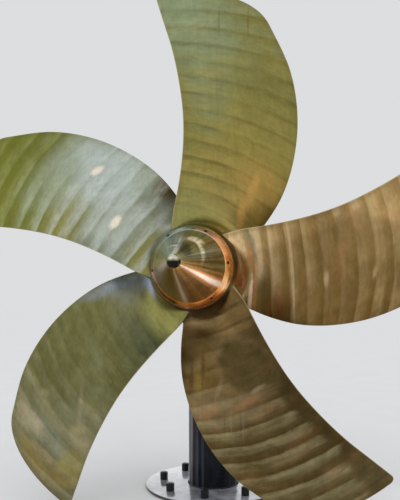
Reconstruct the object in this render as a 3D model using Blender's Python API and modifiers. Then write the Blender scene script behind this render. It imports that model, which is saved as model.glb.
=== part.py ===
"""Ship propeller on a post: a five-bladed cast bronze propeller held up on a round steel stand.

The shaft runs along Y. The pointed fairing cap looks toward -Y, and the post stands at the origin.
"""
import math

import bmesh
import bpy
from mathutils import Matrix, Vector

# Driving dimensions, in metres.
FIT_GAP = 0.0003

PLATE_DIAMETER = 1.25
PLATE_THICKNESS = 0.025

POST_DIAMETER = 0.457
POST_WALL = 0.0127
POST_ABOVE_SHAFT = 0.32
POST_CAP_THICKNESS = 0.020
POST_CAP_OVERHANG = 0.012

ANCHOR_COUNT = 8
ANCHOR_FROM_RIM = 0.152
STUD_DIAMETER = 0.042
STUD_ABOVE_NUT = 0.004
NUT_ACROSS_FLATS = 0.065
NUT_HEIGHT = 0.070
HOLE_CLEARANCE = 0.003

SHAFT_HEIGHT = 1.96
SHAFT_DIAMETER = 0.320
SHAFT_BEHIND_POST = 0.060
END_PLATE_DIAMETER = 0.420
END_PLATE_THICKNESS = 0.025
END_BOLT_COUNT = 6
END_BOLT_CIRCLE_DIAMETER = 0.220
END_BOLT_DIAMETER = 0.034
END_BOLT_HEAD = 0.018

COLLAR_DIAMETER = 0.520
COLLAR_THICKNESS = 0.060
COLLAR_CHAMFER = 0.010
COLLAR_FROM_POST = 0.061

HUB_LENGTH = 0.700
HUB_DIAMETER = 0.780
HUB_BACK_DIAMETER = 0.750
HUB_FRONT_DIAMETER = 0.645
HUB_CHAMFER = 0.020
HUB_WIDEST_FROM_FRONT = 0.260
HUB_WIDEST_LENGTH = 0.160
HUB_CURVE_STEPS = 5
BORE_CLEARANCE = 0.0005

PROPELLER_DIAMETER = 4.31
BLADE_COUNT = 5
BLADE_RAKE = 0.122
BLADE_ROOT_FROM_FRONT = 0.209
BLADE_EDGE_THICKNESS = 0.012
BLADE_HOLLOW = 0.008
TIP_PITCH = 1.85
TIP_THICKNESS = 0.018
TIP_TRAILING = 0.255
TIP_CORNER = 0.045
TIP_CORNER_CHORD = 0.025
TIP_BEND_START = 0.070
TIP_BEND_WIDTH = 0.720
ROOT_DEPTH = 0.055
FILLET_HEIGHT = 0.130
FILLET_SWELL = 0.075
TRAILING_SWELL_SHARE = 0.4

# The blade at stations from the hub to the tip, each a share of the span. The edges are measured along the
# helix from the blade's centre line.
STATION_SHARES = (0.0, 0.150, 0.300, 0.450, 0.600, 0.750, 0.885)
LEADING_EDGE = (0.530, 0.690, 0.811, 0.867, 0.861, 0.776, 0.608)
TRAILING_EDGE = (0.230, 0.151, 0.108, 0.098, 0.124, 0.176, 0.247)
BLADE_THICKNESS = (0.175, 0.150, 0.123, 0.100, 0.075, 0.053, 0.034)
BLADE_PITCH = (1.99, 2.18, 2.29, 2.33, 2.30, 2.19, 2.03)

HUB_LEDGE = 0.0045
RING_LENGTH = 0.105
RING_RIM = 0.022
RING_BORE_DIAMETER = 0.480
RING_LEDGE = 0.003

CONE_LENGTH = 0.500
CONE_BASE_DIAMETER = 0.544
CONE_NOSE_DIAMETER = 0.100
CONE_WALL = 0.020
KNOB_DIAMETER = 0.096
KNOB_NECK_DIAMETER = 0.086
KNOB_NECK_LENGTH = 0.026
RIM_SCREW_COUNT = 6
RIM_SCREW_DIAMETER = 0.024
RIM_SCREW_HEAD = 0.004
RIM_SCREW_ANGLE = 25.0

ROUND_STEPS = 64
FINE_STEPS = 24
HEXAGON_SIDES = 6
BLADE_SPAN_ROWS = 17
ROOT_CROWDING = 0.6
BLADE_TIP_ROWS = 11
BLADE_CHORD_STEPS = 11
SHARP_DEGREES = 35.0

COLOURS = {
    "black_paint": (0.018, 0.020, 0.024, 0.22, 0.0),
    "galvanised": (0.030, 0.032, 0.036, 0.45, 0.6),
    "shaft_steel": (0.060, 0.062, 0.066, 0.40, 0.8),
    "bronze": (0.330, 0.290, 0.150, 0.30, 1.0),
    "copper": (0.640, 0.300, 0.120, 0.22, 1.0),
    "polished_bronze": (0.420, 0.320, 0.180, 0.14, 1.0),
    "dark_steel": (0.080, 0.085, 0.090, 0.30, 1.0),
}

HUB_RADIUS = HUB_DIAMETER / 2
TIP_RADIUS = PROPELLER_DIAMETER / 2
TIP_START = HUB_RADIUS + STATION_SHARES[-1] * (TIP_RADIUS - HUB_RADIUS)
POST_RADIUS = POST_DIAMETER / 2
HUB_BACK = POST_RADIUS + COLLAR_FROM_POST + COLLAR_THICKNESS + FIT_GAP
HUB_FRONT = HUB_BACK + HUB_LENGTH
RING_DIAMETER = HUB_FRONT_DIAMETER - 2 * HUB_LEDGE
RING_FRONT_DIAMETER = CONE_BASE_DIAMETER + 2 * RING_LEDGE
RING_BACK = HUB_FRONT + FIT_GAP
RING_FRONT = RING_BACK + RING_LENGTH
CONE_BACK = RING_FRONT + FIT_GAP
CONE_FRONT = CONE_BACK + CONE_LENGTH
SHAFT_BACK = -POST_RADIUS - SHAFT_BEHIND_POST


def clear_scene():
    for old in list(bpy.data.objects):
        bpy.data.objects.remove(old, do_unlink=True)


def make_collection(name):
    collection = bpy.data.collections.new(name)
    bpy.context.scene.collection.children.link(collection)
    return collection


def make_material(node, kind):
    red, green, blue, roughness, metallic = COLOURS[kind]
    material = bpy.data.materials.new(node + "_finish")
    material.use_nodes = True
    shader = material.node_tree.nodes["Principled BSDF"]
    shader.inputs["Base Color"].default_value = (red, green, blue, 1.0)
    shader.inputs["Roughness"].default_value = roughness
    shader.inputs["Metallic"].default_value = metallic
    return material


def shade(mesh):
    """Smooth shading that keeps real edges sharp."""
    mesh.shade_smooth()
    mesh.set_sharp_from_angle(angle=math.radians(SHARP_DEGREES))


def finish(node, mesh, kind):
    """Turn a mesh into a named part with its own material."""
    part = bpy.data.objects.new(node, mesh)
    PARTS.objects.link(part)
    mesh.materials.clear()
    mesh.materials.append(make_material(node, kind))
    shade(mesh)
    return part


def mesh_from(builder, name):
    mesh = bpy.data.meshes.new(name)
    builder.to_mesh(mesh)
    builder.free()
    return mesh


def cylinder_mesh(name, radius, bottom, top, steps=ROUND_STEPS):
    """An upright cylinder between two heights."""
    builder = bmesh.new()
    middle = Matrix.Translation((0.0, 0.0, (bottom + top) / 2))
    bmesh.ops.create_cone(builder, cap_ends=True, segments=steps, radius1=radius, radius2=radius,
                          depth=top - bottom, matrix=middle)
    return mesh_from(builder, name)


def lay_along_shaft(mesh):
    """Stand a mesh made along +Z on the shaft line, its +Z toward the viewer's side, -Y."""
    mesh.transform(Matrix.Translation((0.0, 0.0, SHAFT_HEIGHT)) @ Matrix.Rotation(math.pi / 2, 4, "X"))
    return mesh


def turned_mesh(name, profile, steps=ROUND_STEPS):
    """Spin a closed profile of (radius, distance) points about Z with a Screw modifier."""
    mesh = bpy.data.meshes.new(name + "_profile")
    points = [(radius, 0.0, distance) for radius, distance in profile]
    links = [(i, (i + 1) % len(points)) for i in range(len(points))]
    if profile[0][0] == 0.0:
        links.pop()
    mesh.from_pydata(points, links, [])
    guide = bpy.data.objects.new(name + "_profile", mesh)
    GUIDES.objects.link(guide)
    screw = guide.modifiers.new("Screw", "SCREW")
    screw.axis = "Z"
    screw.steps = steps
    screw.render_steps = steps
    screw.use_merge_vertices = True
    screw.merge_threshold = 0.00001
    bpy.context.view_layer.update()
    turned = bpy.data.meshes.new_from_object(guide.evaluated_get(bpy.context.evaluated_depsgraph_get()))
    bpy.data.objects.remove(guide, do_unlink=True)
    turned.name = name
    return turned


def boolean(part, cutters, operation="DIFFERENCE"):
    """Apply an exact boolean with each cutter mesh in turn."""
    for index, cutter_mesh in enumerate(cutters):
        cutter = bpy.data.objects.new(f"{part.name}_cutter_{index}", cutter_mesh)
        GUIDES.objects.link(cutter)
        cut = part.modifiers.new("Boolean", "BOOLEAN")
        cut.operation = operation
        cut.solver = "EXACT"
        cut.object = cutter
        bpy.context.view_layer.update()
        result = bpy.data.meshes.new_from_object(part.evaluated_get(bpy.context.evaluated_depsgraph_get()))
        part.modifiers.clear()
        result.name = part.data.name
        part.data = result
        bpy.data.objects.remove(cutter, do_unlink=True)
    return part


def anchor_places():
    """Centres of the anchor bolts, the first straight in front of the post."""
    radius = PLATE_DIAMETER / 2 - ANCHOR_FROM_RIM
    for index in range(ANCHOR_COUNT):
        angle = -math.pi / 2 + index * math.tau / ANCHOR_COUNT
        yield Vector((radius * math.cos(angle), radius * math.sin(angle), 0.0))


def add_base_plate():
    disc = cylinder_mesh("base_plate", PLATE_DIAMETER / 2, 0.0, PLATE_THICKNESS)
    plate = finish("base_plate", disc, "black_paint")
    holes = []
    for place in anchor_places():
        hole = cylinder_mesh("anchor_hole", STUD_DIAMETER / 2 + HOLE_CLEARANCE, -STUD_DIAMETER,
                             PLATE_THICKNESS + STUD_DIAMETER, FINE_STEPS)
        hole.transform(Matrix.Translation(place))
        holes.append(hole)
    return boolean(plate, holes)


def add_anchor_nuts():
    """Tall hexagon nuts, each one body with the end of its stud."""
    nut_bottom = PLATE_THICKNESS + FIT_GAP
    nut_top = nut_bottom + NUT_HEIGHT
    for index, place in enumerate(anchor_places(), start=1):
        nut_mesh = cylinder_mesh("nut", NUT_ACROSS_FLATS / math.sqrt(3), nut_bottom, nut_top, HEXAGON_SIDES)
        nut_mesh.transform(Matrix.Translation(place))
        nut = finish(f"anchor_nut_{index}", nut_mesh, "galvanised")
        stud = cylinder_mesh("stud", STUD_DIAMETER / 2, FIT_GAP, nut_top + STUD_ABOVE_NUT, FINE_STEPS)
        stud.transform(Matrix.Translation(place))
        boolean(nut, [stud], "UNION")


def add_post():
    """The upright pipe, open where the shaft passes through both walls."""
    bottom = PLATE_THICKNESS + FIT_GAP
    top = SHAFT_HEIGHT + POST_ABOVE_SHAFT
    inner = POST_RADIUS - POST_WALL
    profile = [(POST_RADIUS, top), (POST_RADIUS, bottom), (inner, bottom), (inner, top)]
    post = finish("post", turned_mesh("post", profile), "black_paint")
    tunnel = cylinder_mesh("shaft_tunnel", SHAFT_DIAMETER / 2 + FIT_GAP, -PLATE_DIAMETER, PLATE_DIAMETER)
    boolean(post, [lay_along_shaft(tunnel)])
    cap_bottom = top + FIT_GAP
    cap_radius = POST_RADIUS + POST_CAP_OVERHANG
    cap = cylinder_mesh("post_cap", cap_radius, cap_bottom, cap_bottom + POST_CAP_THICKNESS)
    finish("post_cap", cap, "black_paint")


def add_shaft():
    shaft = cylinder_mesh("shaft", SHAFT_DIAMETER / 2, SHAFT_BACK, HUB_FRONT)
    finish("shaft", lay_along_shaft(shaft), "shaft_steel")


def add_thrust_collar():
    """The ring on the shaft that the hub's back face sits against."""
    front = HUB_BACK - FIT_GAP
    back = front - COLLAR_THICKNESS
    outer = COLLAR_DIAMETER / 2
    inner = SHAFT_DIAMETER / 2 + FIT_GAP
    profile = [
        (outer - COLLAR_CHAMFER, front),
        (outer, front - COLLAR_CHAMFER),
        (outer, back + COLLAR_CHAMFER),
        (outer - COLLAR_CHAMFER, back),
        (inner, back),
        (inner, front),
    ]
    finish("thrust_collar", lay_along_shaft(turned_mesh("thrust_collar", profile)), "black_paint")


def add_end_plate():
    """The round plate bolted on the shaft's back end."""
    front = SHAFT_BACK - FIT_GAP
    back = front - END_PLATE_THICKNESS
    plate = cylinder_mesh("shaft_end_plate", END_PLATE_DIAMETER / 2, back, front)
    finish("shaft_end_plate", lay_along_shaft(plate), "black_paint")
    for index in range(END_BOLT_COUNT):
        angle = index * math.tau / END_BOLT_COUNT
        radius = END_BOLT_CIRCLE_DIAMETER / 2
        head_front = back - FIT_GAP
        head = cylinder_mesh("end_bolt", END_BOLT_DIAMETER / math.sqrt(3), head_front - END_BOLT_HEAD,
                             head_front, HEXAGON_SIDES)
        head.transform(Matrix.Translation((radius * math.sin(angle), radius * math.cos(angle), 0.0)))
        finish(f"end_bolt_{index + 1}", lay_along_shaft(head), "galvanised")


def station_slope(values, index):
    """Slope of one row of station values at a station."""
    before = max(index - 1, 0)
    after = min(index + 1, len(values) - 1)
    return (values[after] - values[before]) / (STATION_SHARES[after] - STATION_SHARES[before])


def smooth_value(values, share):
    """A station value at a share of the span, on a smooth curve through the stations."""
    last = len(STATION_SHARES) - 1
    upper = next((i for i in range(1, last) if STATION_SHARES[i] >= share), last)
    lower = upper - 1
    width = STATION_SHARES[upper] - STATION_SHARES[lower]
    t = (share - STATION_SHARES[lower]) / width
    return (
        (2 * t**3 - 3 * t**2 + 1) * values[lower]
        + (t**3 - 2 * t**2 + t) * station_slope(values, lower) * width
        + (3 * t**2 - 2 * t**3) * values[upper]
        + (t**3 - t**2) * station_slope(values, upper) * width
    )


def curve_value(values, t):
    """A Bezier curve's value from its four control values."""
    start, pull, push, end = values
    u = 1 - t
    return u**3 * start + 3 * u**2 * t * pull + 3 * u * t**2 * push + t**3 * end


def blade_rows():
    """Radius, leading edge and trailing edge of each section of a blade, from inside the hub to the tip."""
    span = TIP_RADIUS - HUB_RADIUS
    inner = HUB_RADIUS - ROOT_DEPTH
    for step in range(BLADE_SPAN_ROWS):
        share = (step / BLADE_SPAN_ROWS) ** (1 + ROOT_CROWDING)
        radius = inner + (TIP_START - inner) * share
        span_share = max(0.0, (radius - HUB_RADIUS) / span)
        yield radius, smooth_value(LEADING_EDGE, span_share), smooth_value(TRAILING_EDGE, span_share)
    # The leading edge runs on straight, then bends over to the trailing corner.
    last = len(STATION_SHARES) - 1
    slope = station_slope(LEADING_EDGE, last) / span
    leading = LEADING_EDGE[last]
    corner = TIP_CORNER_CHORD - TIP_TRAILING
    radii = (TIP_START, TIP_START + TIP_BEND_START, TIP_RADIUS, TIP_RADIUS)
    places = (leading, leading + slope * TIP_BEND_START, corner + TIP_BEND_WIDTH, corner)
    for step in range(BLADE_TIP_ROWS + 1):
        radius = curve_value(radii, step / BLADE_TIP_ROWS)
        trailing = TRAILING_EDGE[last] + station_slope(TRAILING_EDGE, last) / span * (radius - TIP_START)
        into_corner = max(0.0, radius - (TIP_RADIUS - TIP_CORNER)) / TIP_CORNER
        trailing = TIP_TRAILING + (trailing - TIP_TRAILING) * math.sqrt(1 - min(1.0, into_corner) ** 2)
        yield radius, curve_value(places, step / BLADE_TIP_ROWS), trailing


def blade_body(radius):
    """Greatest thickness, pitch and rake at a radius."""
    share = (radius - HUB_RADIUS) / (TIP_RADIUS - HUB_RADIUS)
    rake = BLADE_RAKE * share
    within = min(max(share, 0.0), STATION_SHARES[-1])
    blend = max(0.0, (radius - TIP_START) / (TIP_RADIUS - TIP_START))
    thickness = smooth_value(BLADE_THICKNESS, within)
    pitch = smooth_value(BLADE_PITCH, within)
    return thickness + (TIP_THICKNESS - thickness) * blend, pitch + (TIP_PITCH - pitch) * blend, rake


def blade_section(radius, leading, trailing):
    """Closed ring of points round one blade section, wrapped on its cylinder."""
    thickness, pitch, rake = blade_body(radius)
    swell = max(0.0, 1.0 - (radius - HUB_RADIUS) / FILLET_HEIGHT)
    swell = FILLET_SWELL * min(1.0, swell) ** 2
    angle = math.atan2(pitch, math.tau * radius)
    middle = HUB_FRONT - BLADE_ROOT_FROM_FRONT + rake
    ring = []
    face_steps = range(BLADE_CHORD_STEPS + 1)
    back_steps = range(BLADE_CHORD_STEPS - 1, 0, -1)
    for side, steps in (("face", face_steps), ("back", back_steps)):
        for step in steps:
            along = (1 - math.cos(math.pi * step / BLADE_CHORD_STEPS)) / 2
            bulge = 4 * along * (1 - along)
            place = leading + swell - along * (leading + trailing + swell * (1 + TRAILING_SWELL_SHARE))
            if side == "face":
                lift = swell * bulge**0.5 - BLADE_HOLLOW * bulge
            else:
                lift = -BLADE_EDGE_THICKNESS - (thickness - BLADE_EDGE_THICKNESS) * bulge - swell * bulge**0.5
            turn = (place * math.cos(angle) + lift * math.sin(angle)) / radius
            ahead = middle - place * math.sin(angle) + lift * math.cos(angle)
            ring.append(Vector((radius * math.sin(turn), radius * math.cos(turn), ahead)))
    return ring


def blade_mesh(index):
    """A blade as a loft through its sections, standing on the shaft line along +Z."""
    builder = bmesh.new()
    rings = [[builder.verts.new(point) for point in blade_section(*row)] for row in blade_rows()]
    count = len(rings[0])
    for inner, outer in zip(rings, rings[1:]):
        for i in range(count):
            j = (i + 1) % count
            builder.faces.new((inner[i], inner[j], outer[j], outer[i]))
    builder.faces.new(list(reversed(rings[0])))
    builder.faces.new(rings[-1])
    bmesh.ops.triangulate(builder, faces=builder.faces[:])
    bmesh.ops.recalc_face_normals(builder, faces=builder.faces[:])
    bmesh.ops.transform(builder, verts=builder.verts[:],
                        matrix=Matrix.Rotation(-index * math.tau / BLADE_COUNT, 4, "Z"))
    return mesh_from(builder, "blade")


def add_propeller():
    """Hub and blades, one bronze casting with a bore for the shaft."""
    bore = SHAFT_DIAMETER / 2 + BORE_CLEARANCE
    front = HUB_FRONT_DIAMETER / 2
    profile = []
    for step in range(HUB_CURVE_STEPS + 1):
        share = step / HUB_CURVE_STEPS
        radius = front + (HUB_RADIUS - front) * math.sin(share * math.pi / 2)
        profile.append((radius, HUB_FRONT - HUB_WIDEST_FROM_FRONT * share))
    profile += [
        (HUB_RADIUS, HUB_FRONT - HUB_WIDEST_FROM_FRONT - HUB_WIDEST_LENGTH),
        (HUB_BACK_DIAMETER / 2, HUB_BACK + HUB_CHAMFER),
        (HUB_BACK_DIAMETER / 2 - HUB_CHAMFER, HUB_BACK),
        (bore, HUB_BACK),
        (bore, HUB_FRONT),
    ]
    hub = finish("propeller", turned_mesh("propeller", profile), "bronze")
    boolean(hub, [blade_mesh(index) for index in range(BLADE_COUNT)], "UNION")
    front_cut = cylinder_mesh("front_cut", HUB_RADIUS, HUB_FRONT, HUB_FRONT + HUB_LENGTH)
    back_cut = cylinder_mesh("back_cut", HUB_RADIUS, HUB_BACK - HUB_LENGTH, HUB_BACK)
    boolean(hub, [front_cut, back_cut])
    shade(lay_along_shaft(hub.data))


def ring_shoulder():
    """Radius and distance of the bend in the ring's sloping face."""
    radius = (RING_FRONT_DIAMETER + RING_DIAMETER) / 4 + RING_RIM / 4
    distance = (RING_FRONT + RING_BACK + RING_RIM) / 2
    return radius, distance


def add_cap_ring():
    """The copper-coloured ring between the hub and the cone."""
    outer = RING_DIAMETER / 2
    inner = RING_BORE_DIAMETER / 2
    front = RING_FRONT_DIAMETER / 2
    profile = [
        (front, RING_FRONT),
        ring_shoulder(),
        (outer, RING_BACK + RING_RIM),
        (outer, RING_BACK),
        (inner, RING_BACK),
        (inner, RING_FRONT),
    ]
    finish("cap_ring", lay_along_shaft(turned_mesh("cap_ring", profile)), "copper")


def add_cone():
    """The pointed fairing, a hollow turned shell, and the knob on its nose."""
    base = CONE_BASE_DIAMETER / 2
    nose = CONE_NOSE_DIAMETER / 2
    slope = (base - nose) / CONE_LENGTH
    inner_front = CONE_FRONT - CONE_WALL
    profile = [
        (0.0, CONE_FRONT),
        (nose, CONE_FRONT),
        (base, CONE_BACK),
        (base - CONE_WALL, CONE_BACK),
        (nose - CONE_WALL + slope * CONE_WALL, inner_front),
        (0.0, inner_front),
    ]
    finish("cone", lay_along_shaft(turned_mesh("cone", profile)), "polished_bronze")
    knob = KNOB_DIAMETER / 2
    neck_back = CONE_FRONT + FIT_GAP
    centre = neck_back + KNOB_NECK_LENGTH
    neck = KNOB_NECK_DIAMETER / 2
    sweep = math.pi - math.asin(neck / knob)
    arc_steps = FINE_STEPS // 2
    profile = [(0.0, centre + knob)]
    for step in range(1, arc_steps + 1):
        angle = sweep * step / arc_steps
        profile.append((knob * math.sin(angle), centre + knob * math.cos(angle)))
    profile += [(neck, neck_back), (0.0, neck_back)]
    finish("cone_knob", lay_along_shaft(turned_mesh("cone_knob", profile, FINE_STEPS)), "dark_steel")


def add_rim_screws():
    """Flat plugs standing just proud of the ring's sloping face."""
    front_radius = RING_FRONT_DIAMETER / 2
    shoulder_radius, shoulder_distance = ring_shoulder()
    tilt = math.atan2(RING_FRONT - shoulder_distance, shoulder_radius - front_radius)
    radius = (shoulder_radius + front_radius) / 2
    distance = (shoulder_distance + RING_FRONT) / 2
    for index in range(RIM_SCREW_COUNT):
        angle = math.radians(RIM_SCREW_ANGLE) + index * math.tau / RIM_SCREW_COUNT
        screw = cylinder_mesh("rim_screw", RIM_SCREW_DIAMETER / 2, FIT_GAP, FIT_GAP + RIM_SCREW_HEAD,
                              FINE_STEPS)
        place = Matrix.Rotation(-angle, 4, "Z") @ Matrix.Translation((0.0, radius, distance))
        screw.transform(place @ Matrix.Rotation(-tilt, 4, "X"))
        finish(f"rim_screw_{index + 1}", lay_along_shaft(screw), "dark_steel")


clear_scene()
PARTS = make_collection("ship_propeller")
GUIDES = make_collection("cutters")
add_base_plate()
add_anchor_nuts()
add_post()
add_shaft()
add_thrust_collar()
add_end_plate()
add_propeller()
add_cap_ring()
add_cone()
add_rim_screws()
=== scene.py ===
"""Looks of a bronze ship propeller on a black post: the finish of every surface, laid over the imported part.

Metres, +Z up. The shaft runs along Y at SHAFT_HEIGHT, and the pointed cap looks toward -Y.
Angles round the shaft are counted clockwise from straight up, as seen from the cap's side.
"""
import math

import bmesh
import bpy
import numpy as np
from mathutils import Matrix, Vector


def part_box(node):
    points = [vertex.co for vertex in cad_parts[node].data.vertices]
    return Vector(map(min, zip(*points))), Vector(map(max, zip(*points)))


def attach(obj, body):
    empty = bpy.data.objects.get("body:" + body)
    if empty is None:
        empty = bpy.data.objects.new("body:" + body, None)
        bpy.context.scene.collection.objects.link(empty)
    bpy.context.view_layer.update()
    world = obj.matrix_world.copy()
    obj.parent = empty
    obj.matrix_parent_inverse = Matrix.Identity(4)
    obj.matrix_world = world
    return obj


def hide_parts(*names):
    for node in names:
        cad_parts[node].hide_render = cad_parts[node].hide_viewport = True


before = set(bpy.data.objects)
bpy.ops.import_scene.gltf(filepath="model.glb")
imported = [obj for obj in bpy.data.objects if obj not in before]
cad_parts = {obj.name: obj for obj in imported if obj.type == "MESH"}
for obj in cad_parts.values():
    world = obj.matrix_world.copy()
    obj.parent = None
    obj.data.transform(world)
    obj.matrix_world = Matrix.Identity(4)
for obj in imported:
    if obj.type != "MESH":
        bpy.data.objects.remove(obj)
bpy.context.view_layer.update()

# The photograph: its frame in pixels, and the camera that was fitted to it.
PHOTO_LONG_SIDE = 500
FOCAL_PIXELS = 589.2
HORIZON_ROW = 307.1
SENSOR_WIDTH = 36.0
CAMERA_PLACE = (0.857, -5.447, 1.658)
CAMERA_TURN = 0.1786

# The propeller's casting, in metres.
PROPELLER_DIAMETER = 4.31
TIP_MARGIN = 0.002
BLADE_COUNT = 5
BLADE_ANGLE = math.tau / BLADE_COUNT
BLADE_RAKE = 0.122
BLADE_ROOT_FROM_FRONT = 0.209
EDGE_THICKNESS = 0.008
EDGE_ROUNDING = 0.006
BLADE_HOLLOW = 0.008
TIP_PITCH = 1.85
TIP_THICKNESS = 0.014
TIP_TRAILING = 0.255
TIP_CORNER = 0.045
TIP_CORNER_CHORD = 0.025
TIP_BEND_START = 0.070
TIP_BEND_WIDTH = 0.720
FILLET_HEIGHT = 0.160
FILLET_SWELL = 0.085
TRAILING_SWELL_SHARE = 0.4
ROOT_OVERLAP = 0.006
HUB_DIAMETER = 0.780
HUB_BACK_DIAMETER = 0.750
HUB_FRONT_DIAMETER = 0.645
HUB_CHAMFER = 0.020
HUB_CHAMFER_START = 0.2
HUB_WIDEST_FROM_FRONT = 0.260
HUB_WIDEST_LENGTH = 0.160
HUB_LIP = 0.004
BORE_CLEARANCE = 0.0005

# The blade at stations from the hub to the tip, each a share of the span. The edges are measured along the
# helix from the blade's centre line.
STATION_SHARES = np.array((0.0, 0.150, 0.300, 0.450, 0.600, 0.750, 0.885))
LEADING_EDGE = np.array((0.530, 0.690, 0.811, 0.867, 0.861, 0.776, 0.608))
TRAILING_EDGE = np.array((0.230, 0.151, 0.108, 0.098, 0.124, 0.176, 0.247))
BLADE_THICKNESS = np.array((0.175, 0.150, 0.123, 0.100, 0.075, 0.053, 0.034))
BLADE_PITCH = np.array((1.99, 2.18, 2.29, 2.33, 2.30, 2.19, 2.03))

# The stand, the ring and the cap, in metres.
STUD_DIAMETER = 0.042
HOLE_CLEARANCE = 0.003
NUT_ACROSS_FLATS = 0.065
NUT_CIRCLE_SHARE = 0.97
NUT_CHAMFER_DEGREES = 30.0
STUD_ABOVE_NUT = 0.004
POST_WALL = 0.0127
FIT_GAP = 0.0003
END_BOLT_ACROSS_FLATS = 0.034
RING_BORE_DIAMETER = 0.480
RING_RIM = 0.022
RING_FRONT_DIAMETER = 0.550
CONE_NOSE_DIAMETER = 0.100
CONE_WALL = 0.020
KNOB_NECK_DIAMETER = 0.086
KNOB_NECK_LENGTH = 0.026
RIM_SCREW_DIAMETER = 0.024
RIM_SCREW_HEAD = 0.004
RIM_SCREW_CHAMFER = 0.0008
RIM_SOCKET_ACROSS_FLATS = 0.011
RIM_SOCKET_DEPTH = 0.0025
ANCHOR_COUNT = 8
END_BOLT_COUNT = 6
RIM_SCREW_COUNT = 6

# How far the corners of turned parts are rounded, and the weld beads, in metres.
PLATE_CORNER = 0.004
CAP_CORNER = 0.002
COLLAR_CORNER = 0.010
SHAFT_CORNER = 0.004
PIPE_CORNER = 0.002
RING_CORNER = 0.003
CONE_CORNER = 0.003
BEAD_WIDTH = 0.008
BEAD_RIPPLE = 0.16

# How finely the shapes are divided.
FILLET_ROWS = 12
SPAN_ROWS = 44
TIP_ROWS = 34
CHORD_STEPS = 44
HUB_STEPS = 40
HUB_CHAMFER_STEPS = 6
ROUND_STEPS = 192
SMALL_ROUND_STEPS = 96
HOLE_STEPS = 48
CORNER_STEPS = 4
KNOB_STEPS = 40
BEAD_STEPS = 10
FOOT_BEAD_STEPS = 1260
FOOT_BEAD_RIPPLES = 210
SHAFT_BEAD_STEPS = 900
SHAFT_BEAD_RIPPLES = 150
DOUBLES_DISTANCE = 0.00002
SHARP_DEGREES = 35.0
BACK_SLOT = BLADE_COUNT + 1

# How the ground bands, the tones and the edges are drawn, in metres on the blade. The profiles run from one
# band's start to the next: BAND_PROFILE is the height across a band and the painted highlight on it, and
# BAND_LINE is the painted shade line at its edges.
BEND_FULL_BELOW = 0.60
BAND_WANDER = 0.034
BAND_DEPTH = 0.0012
BRUSH_DEPTH = 0.00012
MOTTLE_DEPTH = 0.0006
TONE_WANDER = 0.3
TONES_CROSS = (0.05, 0.75)
GRIME_REACH = (0.055, 0.010)
WORN_REACH = (0.008, 0.004)
WORN_WANDER = 0.004
BAND_PROFILE = {0.0: 0.0, 0.06: 0.75, 0.17: 1.0, 0.45: 0.72, 0.78: 0.18, 1.0: 0.0}
BAND_LINE = {0.0: 0.7, 0.07: 0.0, 0.72: 0.0, 0.92: 1.0, 1.0: 0.7}
STRIP_TURNS = (1.25, 1.75)
STRIP_WANDER = 0.12

# Noises on a blade: swings in a metre each way, detail, roughness and distortion.
MOTTLE = ((3.0, 5.0, 1.0), 5.0, 0.60, 0.6)
CLOUD = ((1.7, 2.2, 1.0), 2.0)
GRAIN = ((22.0, 44.0, 1.0), 4.0, 0.65)
BLOTCHES = ((8.0, 11.0, 1.0), 5.0, 0.62)
UNEVEN = ((2.6, 9.0, 1.0), 4.0, 0.65)
STREAKS = ((1.7, 15.0, 1.0), 5.0, 0.62)
BRUSHING = ((7.0, 120.0, 1.0), 3.0, 0.65)
FLECKS = ((11.0, 40.0, 1.0), 3.0, 0.60)
TINTS = ((2.6, 5.0, 1.0), 2.5)
STROKES = ((46.0, 46.0, 2.0), 3.0, 0.70, 0.4)
DRIPS = ((26.0, 26.0, 0.9), 4.0, 0.65)

# How ragged and how soft the outlines of marks are, as shares of their size.
PATCH_EDGE = (1.1, 0.42)
DISC_EDGE = (0.70, 0.20)
GLINT_EDGE = (1.4, 0.50)
MARK_EDGE = (1.5, 0.55)
HUB_EDGE = (0.4, 0.30)
CONE_EDGE = (1.2, 0.30)
CONE_GLINT_EDGE = (1.6, 0.50)
POST_EDGE = (1.4, 0.6)

# Gloss, turning lines in a metre, and where tones change: on the hub in metres, on the knob as shares, from
# painted shade below to a painted highlight above.
PAINT_SPECULAR = 0.2
PLATE_SPECULAR = 1.0
NUT_SPECULAR = 0.30
HUB_LINES = 90.0
RING_LINES = 700.0
CONE_LINES = 900.0
SHAFT_LINES = 500.0
HUB_LINE_DEPTH = 0.0002
HUB_SHADE_REACH = 0.022
HUB_BRIGHT_LENGTH = 0.30
KNOB_SHADE_BELOW = 0.42
KNOB_HIGHLIGHT_ABOVE = 0.72

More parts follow.
